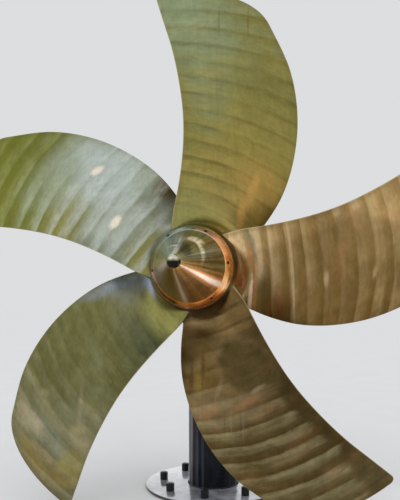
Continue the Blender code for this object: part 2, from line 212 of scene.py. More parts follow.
# Tones, as screen values from 0 to 255.
TONES = {
    "sage": (132, 141, 104), "sage_light": (142, 150, 118), "olive": (128, 122, 66),
    "olive_light": (140, 135, 80), "moss": (100, 102, 42), "moss_light": (128, 132, 76),
    "gold": (166, 142, 70), "gold_light": (186, 162, 94), "gold_olive": (150, 138, 74),
    "gold_warm": (184, 146, 80), "amber": (230, 180, 102), "tan": (148, 120, 72), "tan_warm": (166, 136, 86),
    "tan_dark": (134, 106, 58), "tan_light": (188, 160, 112), "pale_tan": (216, 186, 142),
    "brown": (112, 86, 42), "brown_light": (160, 134, 92), "umber": (92, 75, 42),
    "umber_light": (132, 110, 76), "umber_grey": (110, 95, 62), "dark_umber": (80, 66, 36),
    "deep_umber": (86, 73, 40), "line_brown": (92, 78, 36), "bone": (164, 152, 122), "ash": (148, 137, 100),
    "deep_olive": (94, 92, 54), "deep_olive_light": (108, 106, 72), "dark_green": (66, 70, 46),
    "grey_olive": (112, 109, 78), "grey_olive_light": (134, 130, 102), "silver_sheen": (150, 158, 138),
    "silver_light": (176, 182, 172), "mist": (174, 182, 178), "slate": (120, 126, 106),
    "lavender": (152, 166, 188), "mauve_light": (150, 153, 158), "yellow_olive": (150, 146, 82),
    "rose": (255, 222, 188), "copper": (186, 128, 88), "glint": (255, 236, 214), "rust": (116, 92, 44),
    "worn_edge": (176, 162, 124), "groove": (60, 54, 38), "ring_brown": (164, 98, 30),
    "ring_dark": (84, 60, 30), "ring_tan": (164, 124, 86), "ring_olive": (126, 122, 74),
    "ring_grey": (140, 152, 138), "ring_rose": (208, 172, 150), "ring_pale": (230, 160, 102),
    "ring_amber": (252, 178, 104), "ring_lit": (240, 148, 72), "ring_fire": (186, 112, 38),
    "ring_gold": (178, 126, 62), "ring_orange": (206, 128, 66), "ring_bright": (252, 196, 140),
    "polish_brown": (156, 120, 56), "polish_umber": (150, 112, 50), "polish_streak": (180, 152, 118),
    "polish_warm": (150, 120, 70), "polish_lit": (226, 172, 106), "polish_bronze": (178, 134, 72),
    "polish_pale": (178, 166, 116), "polish_tan": (138, 118, 84), "polish_olive": (186, 170, 98),
    "polish_moss": (140, 142, 84), "polish_grey": (162, 171, 146), "polish_slate": (136, 143, 126),
    "polish_mint": (138, 168, 154), "polish_dark": (78, 80, 62), "polish_striped": (146, 138, 98),
    "polish_amber": (190, 146, 84), "polish_orange": (226, 150, 92), "polish_rose": (255, 226, 202),
    "polish_arc": (236, 220, 190), "knob_painted_shade": (40, 38, 30), "knob_painted_highlight": (192, 186, 166),
    "paint_black": (14, 15, 18), "paint_blue_black": (18, 22, 30), "paint_faded": (44, 46, 52),
    "nut_black": (12, 13, 15), "nut_worn": (30, 31, 34), "sheen_rose": (150, 132, 134),
    "sheen_blue": (96, 104, 122), "dust_and_reflection": (188, 191, 200), "grit": (206, 208, 212), "steel": (150, 150, 150),
    "stain": (92, 78, 62), "floor_low": (218, 218, 219), "floor_high": (220, 220, 221),
}

# The look of each blade. A table's numbers before the colons are radii in metres. The tones differ from blade
# to blade because they are partly the bronze's own tarnish and partly painted reflection of the surroundings.
# trailing, leading: the tones between the ground streaks, along the blade's two edges.
# light, band_highlight_share: the tone of the streaks, which are painted highlights on the ground bands, and
# how strong they are.
# bend: how much the bands curve, where along the blade they turn, and the radius where the curve is gone.
# first_band, band_width: the radius where one of the bands starts, and how wide they are.
# tint, line: tone and strength of a faint cloud over all, and of the dark line between two bands, which is
# painted shade.
# strip: where the strip along the trailing edge ends near the hub and near the tip, how much stronger the
# bands are in it, and how much brighter it is, which is painted light.
# streaks, flecks, mottle, blotches, drips, edge_grime, worn_edge: how strong each of these is.
# Patches lie under the streaks. Discs, glints and marks lie over them, and the glints are painted highlights.
# Each has a tone, a strength, its centre on the blade's map, its half sizes and, where it is turned, its turn
# in degrees.
PLAIN_LOOK = {"strip": (-0.5, -0.5, 0.0, 0.0), "discs": (), "glints": (), "marks": ()}
TOP_BLADE = {
    "trailing": {0.45: "olive_light", 0.85: "olive", 1.35: "olive", 1.8: "sage", 2.15: "sage"},
    "leading": {0.45: "gold_light", 0.85: "gold", 1.15: "gold_olive", 1.55: "olive", 2.05: "olive"},
    "light": {0.45: "olive_light", 0.7: "gold_light", 1.1: "gold_olive", 1.6: "olive_light",
              1.9: "sage_light"},
    "band_highlight_share": {0.4: 0.4, 0.9: 0.55, 1.6: 0.55, 2.15: 0.45},
    "bend": (0.2, 0.38, 2.6), "first_band": 0.985, "band_width": 0.127, "tint": ("gold", 0.22),
    "line": ("line_brown", 0.34), "streaks": 0.16, "flecks": 0.05, "mottle": 0.1, "blotches": 0.1,
    "drips": 0.16, "edge_grime": 0.12, "worn_edge": 0.5, "roughness": 0.42,
    "patches": (
        ("brown", 0.75, 0.72, 0.6, 0.1, 0.07), ("gold_warm", 0.55, 0.54, 0.78, 0.18, 0.24, -20),
        ("sage", 0.55, 0.1, 1.55, 0.2, 0.45),
    ),
    "marks": (
        ("amber", 0.75, 0.42, 0.56, 0.042, 0.09, -8), ("amber", 0.36, 0.5, 0.76, 0.034, 0.13, -14),
        ("brown", 0.45, 0.42, 1.95, 0.01, 0.1), ("brown", 0.35, 0.19, 1.92, 0.008, 0.08),
    ),
}
RIGHT_BLADE = {
    "trailing": {0.45: "tan_warm", 0.8: "tan", 1.1: "tan", 1.4: "tan_warm", 2.15: "tan_warm"},
    "leading": {0.45: "tan_warm", 0.75: "tan_dark", 1.2: "tan_dark", 2.15: "tan_dark"},
    "light": {0.45: "pale_tan", 0.8: "tan_light", 1.1: "brown_light", 1.45: "tan_light"},
    "band_highlight_share": {0.4: 0.85, 0.85: 0.7, 1.05: 0.5, 1.4: 0.7, 2.15: 0.7},
    "bend": (0.45, 0.2, 1.6), "first_band": 1.239, "band_width": 0.132, "strip": (0.0, 0.22, 0.55, 0.26),
    "tint": ("copper", 0.26), "line": ("umber", 0.22), "streaks": 0.08, "flecks": 0.12, "mottle": 0.12,
    "blotches": 0.12, "drips": 0.1, "edge_grime": 0.25, "worn_edge": 0.7, "roughness": 0.36,
    "patches": (
        ("tan_dark", 0.7, 0.14, 0.93, 0.16, 0.1), ("brown", 0.5, 0.66, 0.66, 0.12, 0.1),
        ("brown", 0.6, 0.78, 1.25, 0.08, 0.4),
    ),
    # Painted highlights along the root fillet: a rose line and an orange one.
    "glints": (
        ("ring_orange", 0.6, 0.42, 0.458, 0.26, 0.014), ("rose", 0.95, 0.47, 0.43, 0.22, 0.014),
    ),
    # The long thin pale tan marks near the root are painted highlights on the ground bands.
    "marks": (
        ("pale_tan", 0.55, 0.43, 1.0, 0.07, 0.018), ("tan_light", 0.6, 0.34, 0.87, 0.1, 0.014),
        ("pale_tan", 0.45, 0.48, 1.37, 0.05, 0.016, -10), ("pale_tan", 0.55, -0.08, 1.29, 0.05, 0.035),
        ("pale_tan", 0.45, -0.07, 1.14, 0.04, 0.03), ("copper", 0.5, 0.6, 0.62, 0.14, 0.06, 12),
        ("pale_tan", 0.75, 0.1, 0.5, 0.34, 0.02), ("pale_tan", 0.6, 0.22, 0.59, 0.4, 0.014),
        ("pale_tan", 0.7, 0.28, 0.745, 0.42, 0.012), ("slate", 0.45, -0.02, 0.455, 0.14, 0.02),
        ("sage", 0.4, -0.1, 0.425, 0.1, 0.022), ("slate", 0.3, 0.36, 0.52, 0.16, 0.022),
        ("ring_orange", 0.5, 0.04, 0.43, 0.12, 0.016),
    ),
}
LOWER_RIGHT_BLADE = {
    "trailing": {0.45: "tan", 0.68: "umber", 0.95: "dark_umber", 1.4: "dark_umber", 1.7: "umber",
                 2.05: "umber_grey"},
    "leading": {0.45: "brown", 0.7: "tan", 0.9: "brown", 1.15: "umber_light", 1.45: "umber", 1.75: "umber",
                2.05: "umber_grey"},
    "light": {0.45: "tan_light", 0.75: "brown_light", 1.05: "ash", 1.45: "ash", 2.15: "ash"},
    "band_highlight_share": {0.4: 0.6, 0.75: 0.4, 1.12: 0.36, 1.34: 0.9, 2.15: 0.95},
    "bend": (0.5, 0.2, 1.6), "first_band": 1.315, "band_width": 0.131, "strip": (0.03, -0.1, -0.85, -0.14),
    "tint": ("copper", 0.15), "line": ("dark_umber", 0.65), "streaks": 0.14, "flecks": 0.08, "mottle": 0.14,
    "blotches": 0.16, "drips": 0.16, "edge_grime": 0.15, "worn_edge": 0.6, "roughness": 0.38,
    "patches": (
        ("tan_light", 0.45, 0.6, 0.54, 0.14, 0.08), ("tan_light", 0.5, 0.66, 0.69, 0.14, 0.08),
        ("tan", 0.6, 0.16, 0.54, 0.26, 0.05),
    ),
    "discs": (
        ("umber_light", 0.45, 0.17, 0.84, 0.27, 0.29), ("deep_umber", 0.8, 0.16, 0.86, 0.215, 0.215),
    ),
    "marks": (
        ("copper", 0.17, 0.34, 1.13, 0.2, 0.03, 14), ("copper", 0.15, 0.24, 1.24, 0.16, 0.026, 10),
        ("gold", 0.3, 0.64, 0.84, 0.05, 0.11, -38), ("dark_umber", 0.55, 0.56, 0.78, 0.02, 0.14, -34),
        ("dark_umber", 0.5, 0.72, 0.82, 0.022, 0.12, -34), ("bone", 0.3, 0.5, 0.96, 0.1, 0.02, 40),
        ("ash", 0.45, 0.62, 1.07, 0.22, 0.03, 4), ("bone", 0.45, 0.18, 1.06, 0.07, 0.018, 8),
        ("copper", 0.25, 0.7, 1.12, 0.12, 0.04, 20), ("bone", 0.2, 0.46, 1.28, 0.13, 0.006, 58),
        ("dark_umber", 0.35, 0.5, 1.3, 0.12, 0.005, 58), ("bone", 0.2, 0.55, 1.24, 0.12, 0.005, 60),
        ("dark_umber", 0.3, 0.6, 1.22, 0.1, 0.004, 60),
    ),
}
LOWER_LEFT_BLADE = {
    "trailing": {0.45: "yellow_olive", 0.68: "dark_green", 1.15: "deep_olive", 1.5: "grey_olive",
                 2.15: "grey_olive"},
    "leading": {0.45: "yellow_olive", 0.7: "grey_olive", 0.95: "deep_olive", 1.55: "deep_olive",
                1.95: "grey_olive"},
    "light": {0.45: "yellow_olive", 0.75: "grey_olive", 1.1: "deep_olive_light", 1.55: "grey_olive_light",
              1.85: "bone"},
    "band_highlight_share": {0.4: 0.5, 0.7: 0.22, 1.4: 0.24, 1.65: 0.42, 2.15: 0.42},
    "bend": (0.4, 0.2, 1.6), "first_band": 1.29, "band_width": 0.128, "strip": (0.02, -0.06, 0.0, 0.0),
    "tint": ("slate", 0.26), "line": ("dark_green", 0.1), "streaks": 0.08, "flecks": 0.02, "mottle": 0.12,
    "blotches": 0.15, "drips": 0.1, "edge_grime": 0.1, "worn_edge": 0.6, "roughness": 0.36,
    "patches": (
        ("deep_olive", 0.8, 0.42, 1.3, 0.34, 0.3), ("deep_olive_light", 0.35, 0.2, 1.3, 0.16, 0.24),
        ("slate", 0.6, 0.66, 0.64, 0.16, 0.1, 40), ("slate", 0.5, 0.2, 1.84, 0.26, 0.09),
        ("gold_olive", 0.55, -0.12, 1.9, 0.13, 0.18), ("brown", 0.4, 0.1, 2.02, 0.26, 0.1),
        ("ash", 0.75, -0.04, 1.64, 0.12, 0.07), ("bone", 0.6, 0.43, 1.88, 0.18, 0.07, 5),
        ("ash", 0.3, 0.52, 1.68, 0.24, 0.03), ("ash", 0.25, 0.05, 1.44, 0.14, 0.04),
    ),
    # The lavender, mauve and mist marks near the root are painted sheen.
    "marks": (
        ("yellow_olive", 0.65, 0.02, 0.45, 0.22, 0.034), ("bone", 0.3, -0.08, 1.66, 0.05, 0.03),
        ("bone", 0.22, 0.14, 1.46, 0.14, 0.02, -50), ("bone", 0.35, 0.47, 1.65, 0.05, 0.025, 30),
        ("mauve_light", 0.3, 0.56, 0.6, 0.3, 0.12, 36), ("lavender", 0.25, 0.74, 0.82, 0.2, 0.06, 60),
        ("lavender", 0.6, 0.66, 0.62, 0.14, 0.06, 50), ("mist", 0.35, 0.69, 0.65, 0.12, 0.045, 54),
        ("lavender", 0.4, 0.52, 0.54, 0.18, 0.045, 34), ("lavender", 0.85, 0.44, 0.445, 0.24, 0.036, 8),
        ("gold_olive", 0.4, 0.2, 2.04, 0.2, 0.05, -8),
    ),
}
# The silver and mist on the left blade are painted reflection, and its glints are painted highlights.
LEFT_BLADE = {
    "trailing": {0.45: "olive", 0.7: "slate", 0.9: "slate", 1.15: "olive", 1.45: "moss", 2.15: "moss"},
    "leading": {0.45: "slate", 0.75: "slate", 0.92: "silver_sheen", 1.45: "silver_sheen", 1.68: "moss", 2.15: "moss"},
    "light": {0.45: "silver_light", 0.8: "silver_light", 1.2: "silver_light", 1.5: "sage_light",
              1.75: "moss_light", 2.15: "moss_light"},
    "band_highlight_share": {0.4: 0.7, 0.9: 0.68, 1.3: 0.72, 1.7: 0.72, 2.15: 0.7},
    "bend": (0.45, 0.2, 1.6), "first_band": 1.206, "band_width": 0.143, "tint": ("mist", 0.1),
    "line": ("moss", 0.26), "streaks": 0.1, "flecks": 0.04, "mottle": 0.08, "blotches": 0.08, "drips": 0.05,
    "edge_grime": 0.12, "worn_edge": 0.5, "roughness": 0.36,
    "patches": (
        ("silver_light", 0.6, 0.22, 0.8, 0.26, 0.19, 12), ("mist", 0.7, 0.54, 1.08, 0.3, 0.22, 24),
        ("umber", 0.85, 0.7, 0.66, 0.12, 0.1, 25), ("silver_light", 0.6, 0.42, 0.5, 0.16, 0.06, 10),
    ),
    "glints": (
        ("glint", 0.9, 0.585, 1.195, 0.056, 0.03, -8), ("glint", 0.75, 0.185, 0.8, 0.062, 0.032, 6),
    ),
    "marks": (
        ("mist", 0.55, 0.7, 1.33, 0.14, 0.1, 50),
    ),
}
BACK_LOOK = {
    "trailing": {0.45: "olive", 0.9: "grey_olive", 1.5: "olive", 2.15: "grey_olive"},
    "leading": {0.45: "tan_dark", 0.9: "olive", 1.5: "umber_light", 2.15: "grey_olive"},
    "light": {0.45: "brown_light", 1.1: "grey_olive_light", 1.6: "ash", 2.15: "grey_olive_light"},
    "band_highlight_share": {0.4: 0.35, 0.9: 0.42, 1.6: 0.5, 2.15: 0.42},
    "bend": (0.3, 0.2, 1.6), "first_band": 0.975, "band_width": 0.132, "tint": ("slate", 0.25),
    "line": ("umber", 0.22), "streaks": 0.16, "flecks": 0.06, "mottle": 0.13, "blotches": 0.14, "drips": 0.26,
    "edge_grime": 0.25, "worn_edge": 0.6, "roughness": 0.42,
    "patches": (
        ("brown", 0.4, 0.45, 0.8, 0.25, 0.16, 20), ("bone", 0.25, 0.1, 1.45, 0.2, 0.09, -10),
        ("slate", 0.35, 0.5, 1.3, 0.22, 0.14, 15),
    ),
}
BLADE_LOOKS = (TOP_BLADE, RIGHT_BLADE, LOWER_RIGHT_BLADE, LOWER_LEFT_BLADE, LEFT_BLADE)

# Painted sheens down the post: a rose painted reflection along its left side and faint blue ones low down.
# Their places and half sizes are a share of a turn, from the front by way of the left, and metres up.
POST_PAINTED_SHEENS = (
    ("sheen_rose", 0.7, 0.142, 0.8, 0.014, 0.75), ("sheen_blue", 0.35, 0.088, 0.28, 0.012, 0.3),
    ("sheen_blue", 0.25, 0.045, 0.35, 0.008, 0.45),
)

# Tones round the shaft, for shares of a turn from straight down, clockwise as seen from the cap's side. On
# the hub they follow the blade roots, and like them they are partly painted reflection.
HUB_TONES = {
    0.0: "ring_dark", 0.1: "tan_dark", 0.18: "ring_tan", 0.28: "olive", 0.42: "silver_sheen", 0.52: "olive_light",
    0.66: "gold", 0.8: "ring_gold", 0.88: "brown", 1.0: "ring_dark",
}
# The ring is copper, and its tones round it carry painted highlights and reflections: bright orange on its
# right and lower right, grey and rose on top, dull olive and tan on its left.
RING_REFLECTION_TONES = {
    0.0: "ring_fire", 0.09: "ring_brown", 0.2: "ring_tan", 0.3: "ring_olive", 0.4: "ring_grey",
    0.5: "ring_grey", 0.58: "ring_rose", 0.67: "ring_pale", 0.77: "ring_amber", 0.835: "ring_bright",
    0.87: "ring_lit", 0.95: "ring_lit", 1.0: "ring_fire",
}
# The cone's tones are painted reflections on polished bronze: a painted highlight wedge toward the lower
# right, grey and slate on the upper left, stripes on the upper right and brown below.
CONE_REFLECTION_TONES = {
    0.0: "polish_umber", 0.009: "polish_streak", 0.02: "polish_streak", 0.034: "polish_brown",
    0.12: "polish_brown", 0.17: "polish_warm", 0.225: "polish_tan", 0.27: "polish_olive", 0.31: "polish_moss",
    0.37: "polish_grey", 0.44: "polish_slate", 0.54: "polish_striped", 0.7: "polish_striped",
    0.76: "polish_pale", 0.8: "polish_amber", 0.816: "polish_orange", 0.83: "polish_rose",
    0.845: "polish_rose", 0.857: "polish_orange", 0.878: "polish_lit", 0.93: "polish_lit",
    0.965: "polish_bronze", 1.0: "polish_umber",
}
# How strong the fine rays of painted reflection on the cone are, for the same shares.
RAY_STRENGTH = {
    0.0: 0.35, 0.3: 0.35, 0.4: 0.6, 0.58: 1.0, 0.79: 1.0, 0.82: 0.05, 0.86: 0.1, 0.9: 0.3, 1.0: 0.35,
}

# Painted reflections on the hub beside the ring: a dark crescent, pale streaks and an orange flash. Their
# places and half sizes are a share of a turn and metres from the shaft.
HUB_PAINTED_REFLECTIONS = (
    ("groove", 0.8, 0.66, 0.338, 0.12, 0.012), ("silver_light", 0.75, 0.68, 0.362, 0.09, 0.009),
    ("ring_orange", 0.65, 0.78, 0.384, 0.05, 0.012), ("silver_light", 0.5, 0.4, 0.352, 0.14, 0.006),
)
# Painted reflections on the cone: their places and half sizes are a share of a turn and of the way from nose
# to base.
CONE_PAINTED_REFLECTIONS = (
    ("polish_dark", 0.85, 0.545, 0.3, 0.23, 0.085, -62), ("polish_grey", 0.6, 0.5, 0.05, 0.12, 0.04, -35),
    ("polish_amber", 0.75, 0.77, 0.24, 0.035, 0.3), ("polish_mint", 0.6, 0.575, 0.9, 0.025, 0.13),
)
# Painted highlights on the cone: bright arcs, broken into rays.
CONE_GLINTS = (
    ("polish_arc", 0.45, 0.435, 0.39, 0.105, 0.022, -63), ("polish_arc", 0.8, 0.565, 0.655, 0.05, 0.1, -10),
    ("polish_arc", 0.7, 0.645, 0.545, 0.14, 0.036, -48),
)

# Light from all round: its brightness in front and behind, a glow, and the plain background.
FRONT_WAY = (0.0, -0.95, 0.30)
WORLD_FRONT = 1.10
WORLD_BACK = 0.55
BACK_GLOW_WAY = (-0.15, 0.94, 0.28)
BACK_GLOW = 1.30
BACKGROUND_BRIGHTNESS = 0.74
WORLD_COLOUR = (0.97, 0.985, 1.0, 1)
FLOOR_REACH = 400.0

# Soft lights: name, place, target, direction of the long side, width and length, and brightness.
SOFTBOXES = (
    ("key", (-4.5, -6.5, 6.5), (0, -0.8, 1.9), (0, 0, 1), (5.0, 5.0), 0.45),
    ("cone_strip", (2.24, 0.09, 0.59), (0.13, -1.43, 1.89), (-0.40, 0.42, -0.84), (0.16, 0.90), 4.5),
)


def shaft_span(name):
    """How far a node's front and back are ahead of the post's centre, and its radius round the shaft."""
    low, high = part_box(name)
    return -low.y, -high.y, (high.z - low.z) / 2


SHAFT_LOW, SHAFT_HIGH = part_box("shaft")
SHAFT_HEIGHT = (SHAFT_LOW.z + SHAFT_HIGH.z) / 2
SHAFT_RADIUS = (SHAFT_HIGH.z - SHAFT_LOW.z) / 2
HUB_FRONT, HUB_BACK = shaft_span("propeller")[:2]
CONE_FRONT, CONE_BACK = shaft_span("cone")[:2]
HUB_RADIUS = HUB_DIAMETER / 2
TIP_RADIUS = PROPELLER_DIAMETER / 2 - TIP_MARGIN
BLADE_SPAN = TIP_RADIUS - HUB_RADIUS
TIP_START = HUB_RADIUS + STATION_SHARES[-1] * BLADE_SPAN
FILLET_TOP = HUB_RADIUS + FILLET_HEIGHT
ALONG_SHAFT = Matrix.Translation((0, 0, SHAFT_HEIGHT)) @ Matrix.Rotation(math.pi / 2, 4, "X")


# Shapes

def new_object(name, data):
    made = bpy.data.objects.new(name, data)
    bpy.context.scene.collection.objects.link(made)
    return made


def add_piece(name, mesh, stands_for, materials):
    """Put a finished mesh in the scene as a piece that stands for some CAD nodes."""
    mesh.name = name
    mesh.shade_smooth()
    mesh.set_sharp_from_angle(angle=math.radians(SHARP_DEGREES))
    piece = new_object(name, mesh)
    for material in materials:
        mesh.materials.append(material)
    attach(piece, "root")
    if stands_for:
        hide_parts(*stands_for)


def grid_faces(rows, steps, offset=0, closed=False, flip=False):
    """Quads of a grid of points. A closed grid joins its last row and step to its first ones."""
    grid = offset + np.arange(rows * steps).reshape(rows, steps)
    if closed:
        grid = np.pad(grid, ((0, 1), (0, 1)), "wrap")
    faces = np.stack((grid[:-1, :-1], grid[:-1, 1:], grid[1:, 1:], grid[1:, :-1]), axis=-1).reshape(-1, 4)
    return faces[:, ::-1].tolist() if flip else faces.tolist()


def cleaned(mesh):
    """Weld a mesh's doubled points and point its faces outward."""
    builder = bmesh.new()
    builder.from_mesh(mesh)
    bmesh.ops.remove_doubles(builder, verts=builder.verts[:], dist=DOUBLES_DISTANCE)
    bmesh.ops.dissolve_degenerate(builder, edges=builder.edges[:], dist=DOUBLES_DISTANCE)
    bmesh.ops.recalc_face_normals(builder, faces=builder.faces[:])
    builder.to_mesh(mesh)
    builder.free()
    return mesh


def closed_mesh(points):
    """A mesh from a grid of points that closes on itself both ways."""
    mesh = bpy.data.meshes.new("mesh")
    mesh.from_pydata(points.reshape(-1, 3).tolist(), [], grid_faces(*points.shape[:2], closed=True))
    return cleaned(mesh)


def spun_mesh(outline, steps=ROUND_STEPS):
    """A closed outline of (radius, height) points, or a function of the angle, spun round the Z axis."""
    angles = np.arange(steps) * math.tau / steps
    outlines = np.array([outline(angle) if callable(outline) else outline for angle in angles])
    radii, heights = outlines[..., 0], outlines[..., 1]
    angles = angles[:, None]
    return closed_mesh(np.stack((radii * np.sin(angles), radii * np.cos(angles), heights), axis=-1))


def turned_mesh(outline, corner_size, steps=ROUND_STEPS):
    """A turned part upright on the Z axis. Its corners are rounded, but not those on the axis."""
    points = []
    for index, corner in enumerate(outline):
        corner = np.array(corner)
        if corner[0] == 0:
            points.append(corner)
            continue
        before = np.array(outline[index - 1])
        after = np.array(outline[(index + 1) % len(outline)])
        start = corner + (before - corner) * corner_size / np.linalg.norm(before - corner)
        end = corner + (after - corner) * corner_size / np.linalg.norm(after - corner)
        for t in np.linspace(0, 1, CORNER_STEPS):
            points.append((1 - t) ** 2 * start + 2 * t * (1 - t) * corner + t**2 * end)
    return spun_mesh(np.array(points), steps)


def rod(radius, bottom, top):
    """Half the section of a solid round part."""
    return [(0.0, top), (radius, top), (radius, bottom), (0.0, bottom)]


def tube(outer, inner, bottom, top):
    """The section of a pipe's wall."""
    return [(outer, top), (outer, bottom), (inner, bottom), (inner, top)]


def hexagon_radius(angle, across_flats):
    """The distance from a hexagon's centre to its side, with a corner at angle 0."""
    return across_flats / 2 / math.cos(angle % (math.tau / 6) - math.tau / 12)


def hexagon_mesh(across_flats, bottom, top):
    """A hexagon head or nut whose ends are chamfered to a circle."""
    circle = across_flats / 2 * NUT_CIRCLE_SHARE

    def outline(angle):
        corner = hexagon_radius(angle, across_flats)
        drop = (corner - circle) * math.tan(math.radians(NUT_CHAMFER_DEGREES))
        side = [(circle, top), (corner, top - drop), (corner, bottom + drop), (circle, bottom)]
        return [(0.0, top), *side, (0.0, bottom)]

    return spun_mesh(outline, SMALL_ROUND_STEPS)


def one_mesh(meshes):
    builder = bmesh.new()
    for mesh in meshes:
        builder.from_mesh(mesh)
    result = bpy.data.meshes.new("mesh")
    builder.to_mesh(result)
    builder.free()
    return result


def cut(mesh, cutters):
    """The mesh with the cutters' shapes taken out."""
    body = new_object("body", mesh)
    helpers = [new_object("cutter", cutter) for cutter in cutters]
    for helper in helpers:
        modifier = body.modifiers.new("cut", "BOOLEAN")
        modifier.object = helper
        modifier.solver = "EXACT"
    graph = bpy.context.evaluated_depsgraph_get()
    result = bpy.data.meshes.new_from_object(body.evaluated_get(graph))
    for helper in [body, *helpers]:
        bpy.data.objects.remove(helper)
    return result


def bead_mesh(path, outward, ripples):
    """A weld bead along a closed path, with the ripples that the welding leaves."""
    ahead = np.roll(path, -1, axis=0) - np.roll(path, 1, axis=0)
    ahead /= np.linalg.norm(ahead, axis=1)[:, None]
    outward = outward - (outward * ahead).sum(axis=1)[:, None] * ahead
    outward /= np.linalg.norm(outward, axis=1)[:, None]
    side = np.cross(ahead, outward)
    around = np.arange(BEAD_STEPS) * math.tau / BEAD_STEPS
    ripple = np.abs(np.sin(math.pi * ripples * np.arange(len(path)) / len(path)))[:, None]
    reach = BEAD_WIDTH * (1 + BEAD_RIPPLE * ripple * (1 + np.cos(around)))
    ring = outward[:, None] * np.cos(around)[:, None] + side[:, None] * np.sin(around)[:, None]
    return closed_mesh(path[:, None] + reach[..., None] * ring)


# The propeller

def along_shaft(radius, angle, ahead):
    """World points from a radius, an angle round the shaft and a distance ahead of the post's centre."""
    return np.stack((radius * np.sin(angle), -ahead, SHAFT_HEIGHT + radius * np.cos(angle)), axis=-1)


def station_slopes(values):
    wide_values = np.pad(values, 1, "edge")
    wide_shares = np.pad(STATION_SHARES, 1, "edge")
    return (wide_values[2:] - wide_values[:-2]) / (wide_shares[2:] - wide_shares[:-2])


def station_curve(values, radius):
    """A station value at each radius, on a smooth curve that runs on straight past the last station."""
    share = np.maximum((radius - HUB_RADIUS) / BLADE_SPAN, 0)
    slopes = station_slopes(values)
    upper = np.clip(np.searchsorted(STATION_SHARES, share), 1, len(values) - 1)
    lower = upper - 1
    width = STATION_SHARES[upper] - STATION_SHARES[lower]
    t = (share - STATION_SHARES[lower]) / width
    curve = (
        (2 * t**3 - 3 * t**2 + 1) * values[lower]
        + (t**3 - 2 * t**2 + t) * slopes[lower] * width
        + (3 * t**2 - 2 * t**3) * values[upper]
        + (t**3 - t**2) * slopes[upper] * width
    )
    straight = values[-1] + slopes[-1] * (share - STATION_SHARES[-1])
    return np.where(share > STATION_SHARES[-1], straight, curve)


def section_value(values, tip_value, radius):
    """A station value at each radius, which runs straight to the tip's own value past the last station."""
    beyond = np.clip((radius - TIP_START) / (TIP_RADIUS - TIP_START), 0, 1)
    return np.where(beyond > 0, values[-1] + (tip_value - values[-1]) * beyond, station_curve(values, radius))


def bezier(start, pull, push, end, t):
    """A curve's value from its four control values."""
    u = 1 - t
    return u**3 * start + 3 * u**2 * t * pull + 3 * u * t**2 * push + t**3 * end


def hub_radius(ahead):
    """The hub's outer radius at a distance ahead of the post's centre."""
    front = HUB_FRONT_DIAMETER / 2
    share = np.clip((HUB_FRONT - ahead) / HUB_WIDEST_FROM_FRONT, 0, 1)
    radius = front + (HUB_RADIUS - front) * np.sin(share * math.pi / 2)
    taper_start = HUB_FRONT - HUB_WIDEST_FROM_FRONT - HUB_WIDEST_LENGTH
    taper = np.clip((taper_start - ahead) / (taper_start - HUB_BACK), 0, 1)
    return radius + (HUB_BACK_DIAMETER / 2 - HUB_RADIUS) * taper


def hub_profile():
    """The hub's closed section as (radius, ahead) points."""
    bore = SHAFT_RADIUS + BORE_CLEARANCE
    ahead = np.linspace(HUB_FRONT - HUB_LIP, HUB_BACK + HUB_CHAMFER, HUB_STEPS)
    turn = np.linspace(HUB_CHAMFER_START, math.pi / 2, HUB_CHAMFER_STEPS)
    back_radius = HUB_BACK_DIAMETER / 2 - HUB_CHAMFER * (1 - np.cos(turn))
    return np.array([
        (bore, HUB_FRONT),
        (HUB_FRONT_DIAMETER / 2 - HUB_LIP, HUB_FRONT),
        *zip(hub_radius(ahead), ahead),
        *zip(back_radius, HUB_BACK + HUB_CHAMFER * (1 - np.sin(turn))),
        (bore, HUB_BACK),
    ])


def blade_rows():
    """One row of numbers for each section of a blade, from inside the hub to the tip: radius, leading edge,
    trailing edge, swell of the root fillet, and how much the row follows the hub's own outline."""
    turn = math.pi / 2 * (1 - np.maximum(np.arange(-1, FILLET_ROWS), 0) / FILLET_ROWS)
    height = FILLET_HEIGHT * (1 - np.sin(turn))
    follow = (1 - height / FILLET_HEIGHT) ** 2
    swell = FILLET_SWELL * (1 - np.cos(turn))
    height[0] = -ROOT_OVERLAP
    radius = np.append(HUB_RADIUS + height, np.linspace(FILLET_TOP, TIP_START, SPAN_ROWS, endpoint=False))

    t = np.arange(TIP_ROWS + 1) / TIP_ROWS
    leading = LEADING_EDGE[-1]
    slope = station_slopes(LEADING_EDGE)[-1] / BLADE_SPAN
    corner = TIP_CORNER_CHORD - TIP_TRAILING
    tip_radius = bezier(TIP_START, TIP_START + TIP_BEND_START, TIP_RADIUS, TIP_RADIUS, t)
    tip_leading = bezier(leading, leading + slope * TIP_BEND_START, corner + TIP_BEND_WIDTH, corner, t)
    into_corner = np.maximum(0, tip_radius - (TIP_RADIUS - TIP_CORNER)) / TIP_CORNER
    corner_share = np.sqrt(np.maximum(0, 1 - into_corner**2))
    tip_trailing = TIP_TRAILING + (station_curve(TRAILING_EDGE, tip_radius) - TIP_TRAILING) * corner_share

    rest = np.zeros(SPAN_ROWS + TIP_ROWS + 1)
    return np.column_stack((
        np.append(radius, tip_radius),
        np.append(station_curve(LEADING_EDGE, radius), tip_leading),
        np.append(station_curve(TRAILING_EDGE, radius), tip_trailing),
        np.append(swell, rest),
        np.append(follow, rest),
    ))


def distance_to_outline(places, radii, rows):
    """How far each point of the flattened blade is from its edge."""
    outline = np.concatenate((rows[:, (1, 0)], (rows[:, (2, 0)] * (-1, 1))[::-1]))
    start, end = outline[:-1], outline[1:]
    run = end - start
    length = np.maximum((run**2).sum(axis=1), 1e-12)
    points = np.stack((places.ravel(), radii.ravel()), axis=-1)
    nearest = np.full(len(points), np.inf)
    for first, step, span in zip(start, run, length):
        t = np.clip(((points - first) @ step) / span, 0, 1)
        gap = points - first - t[:, None] * step
        nearest = np.minimum(nearest, (gap**2).sum(axis=1))
    return np.sqrt(nearest).reshape(places.shape)


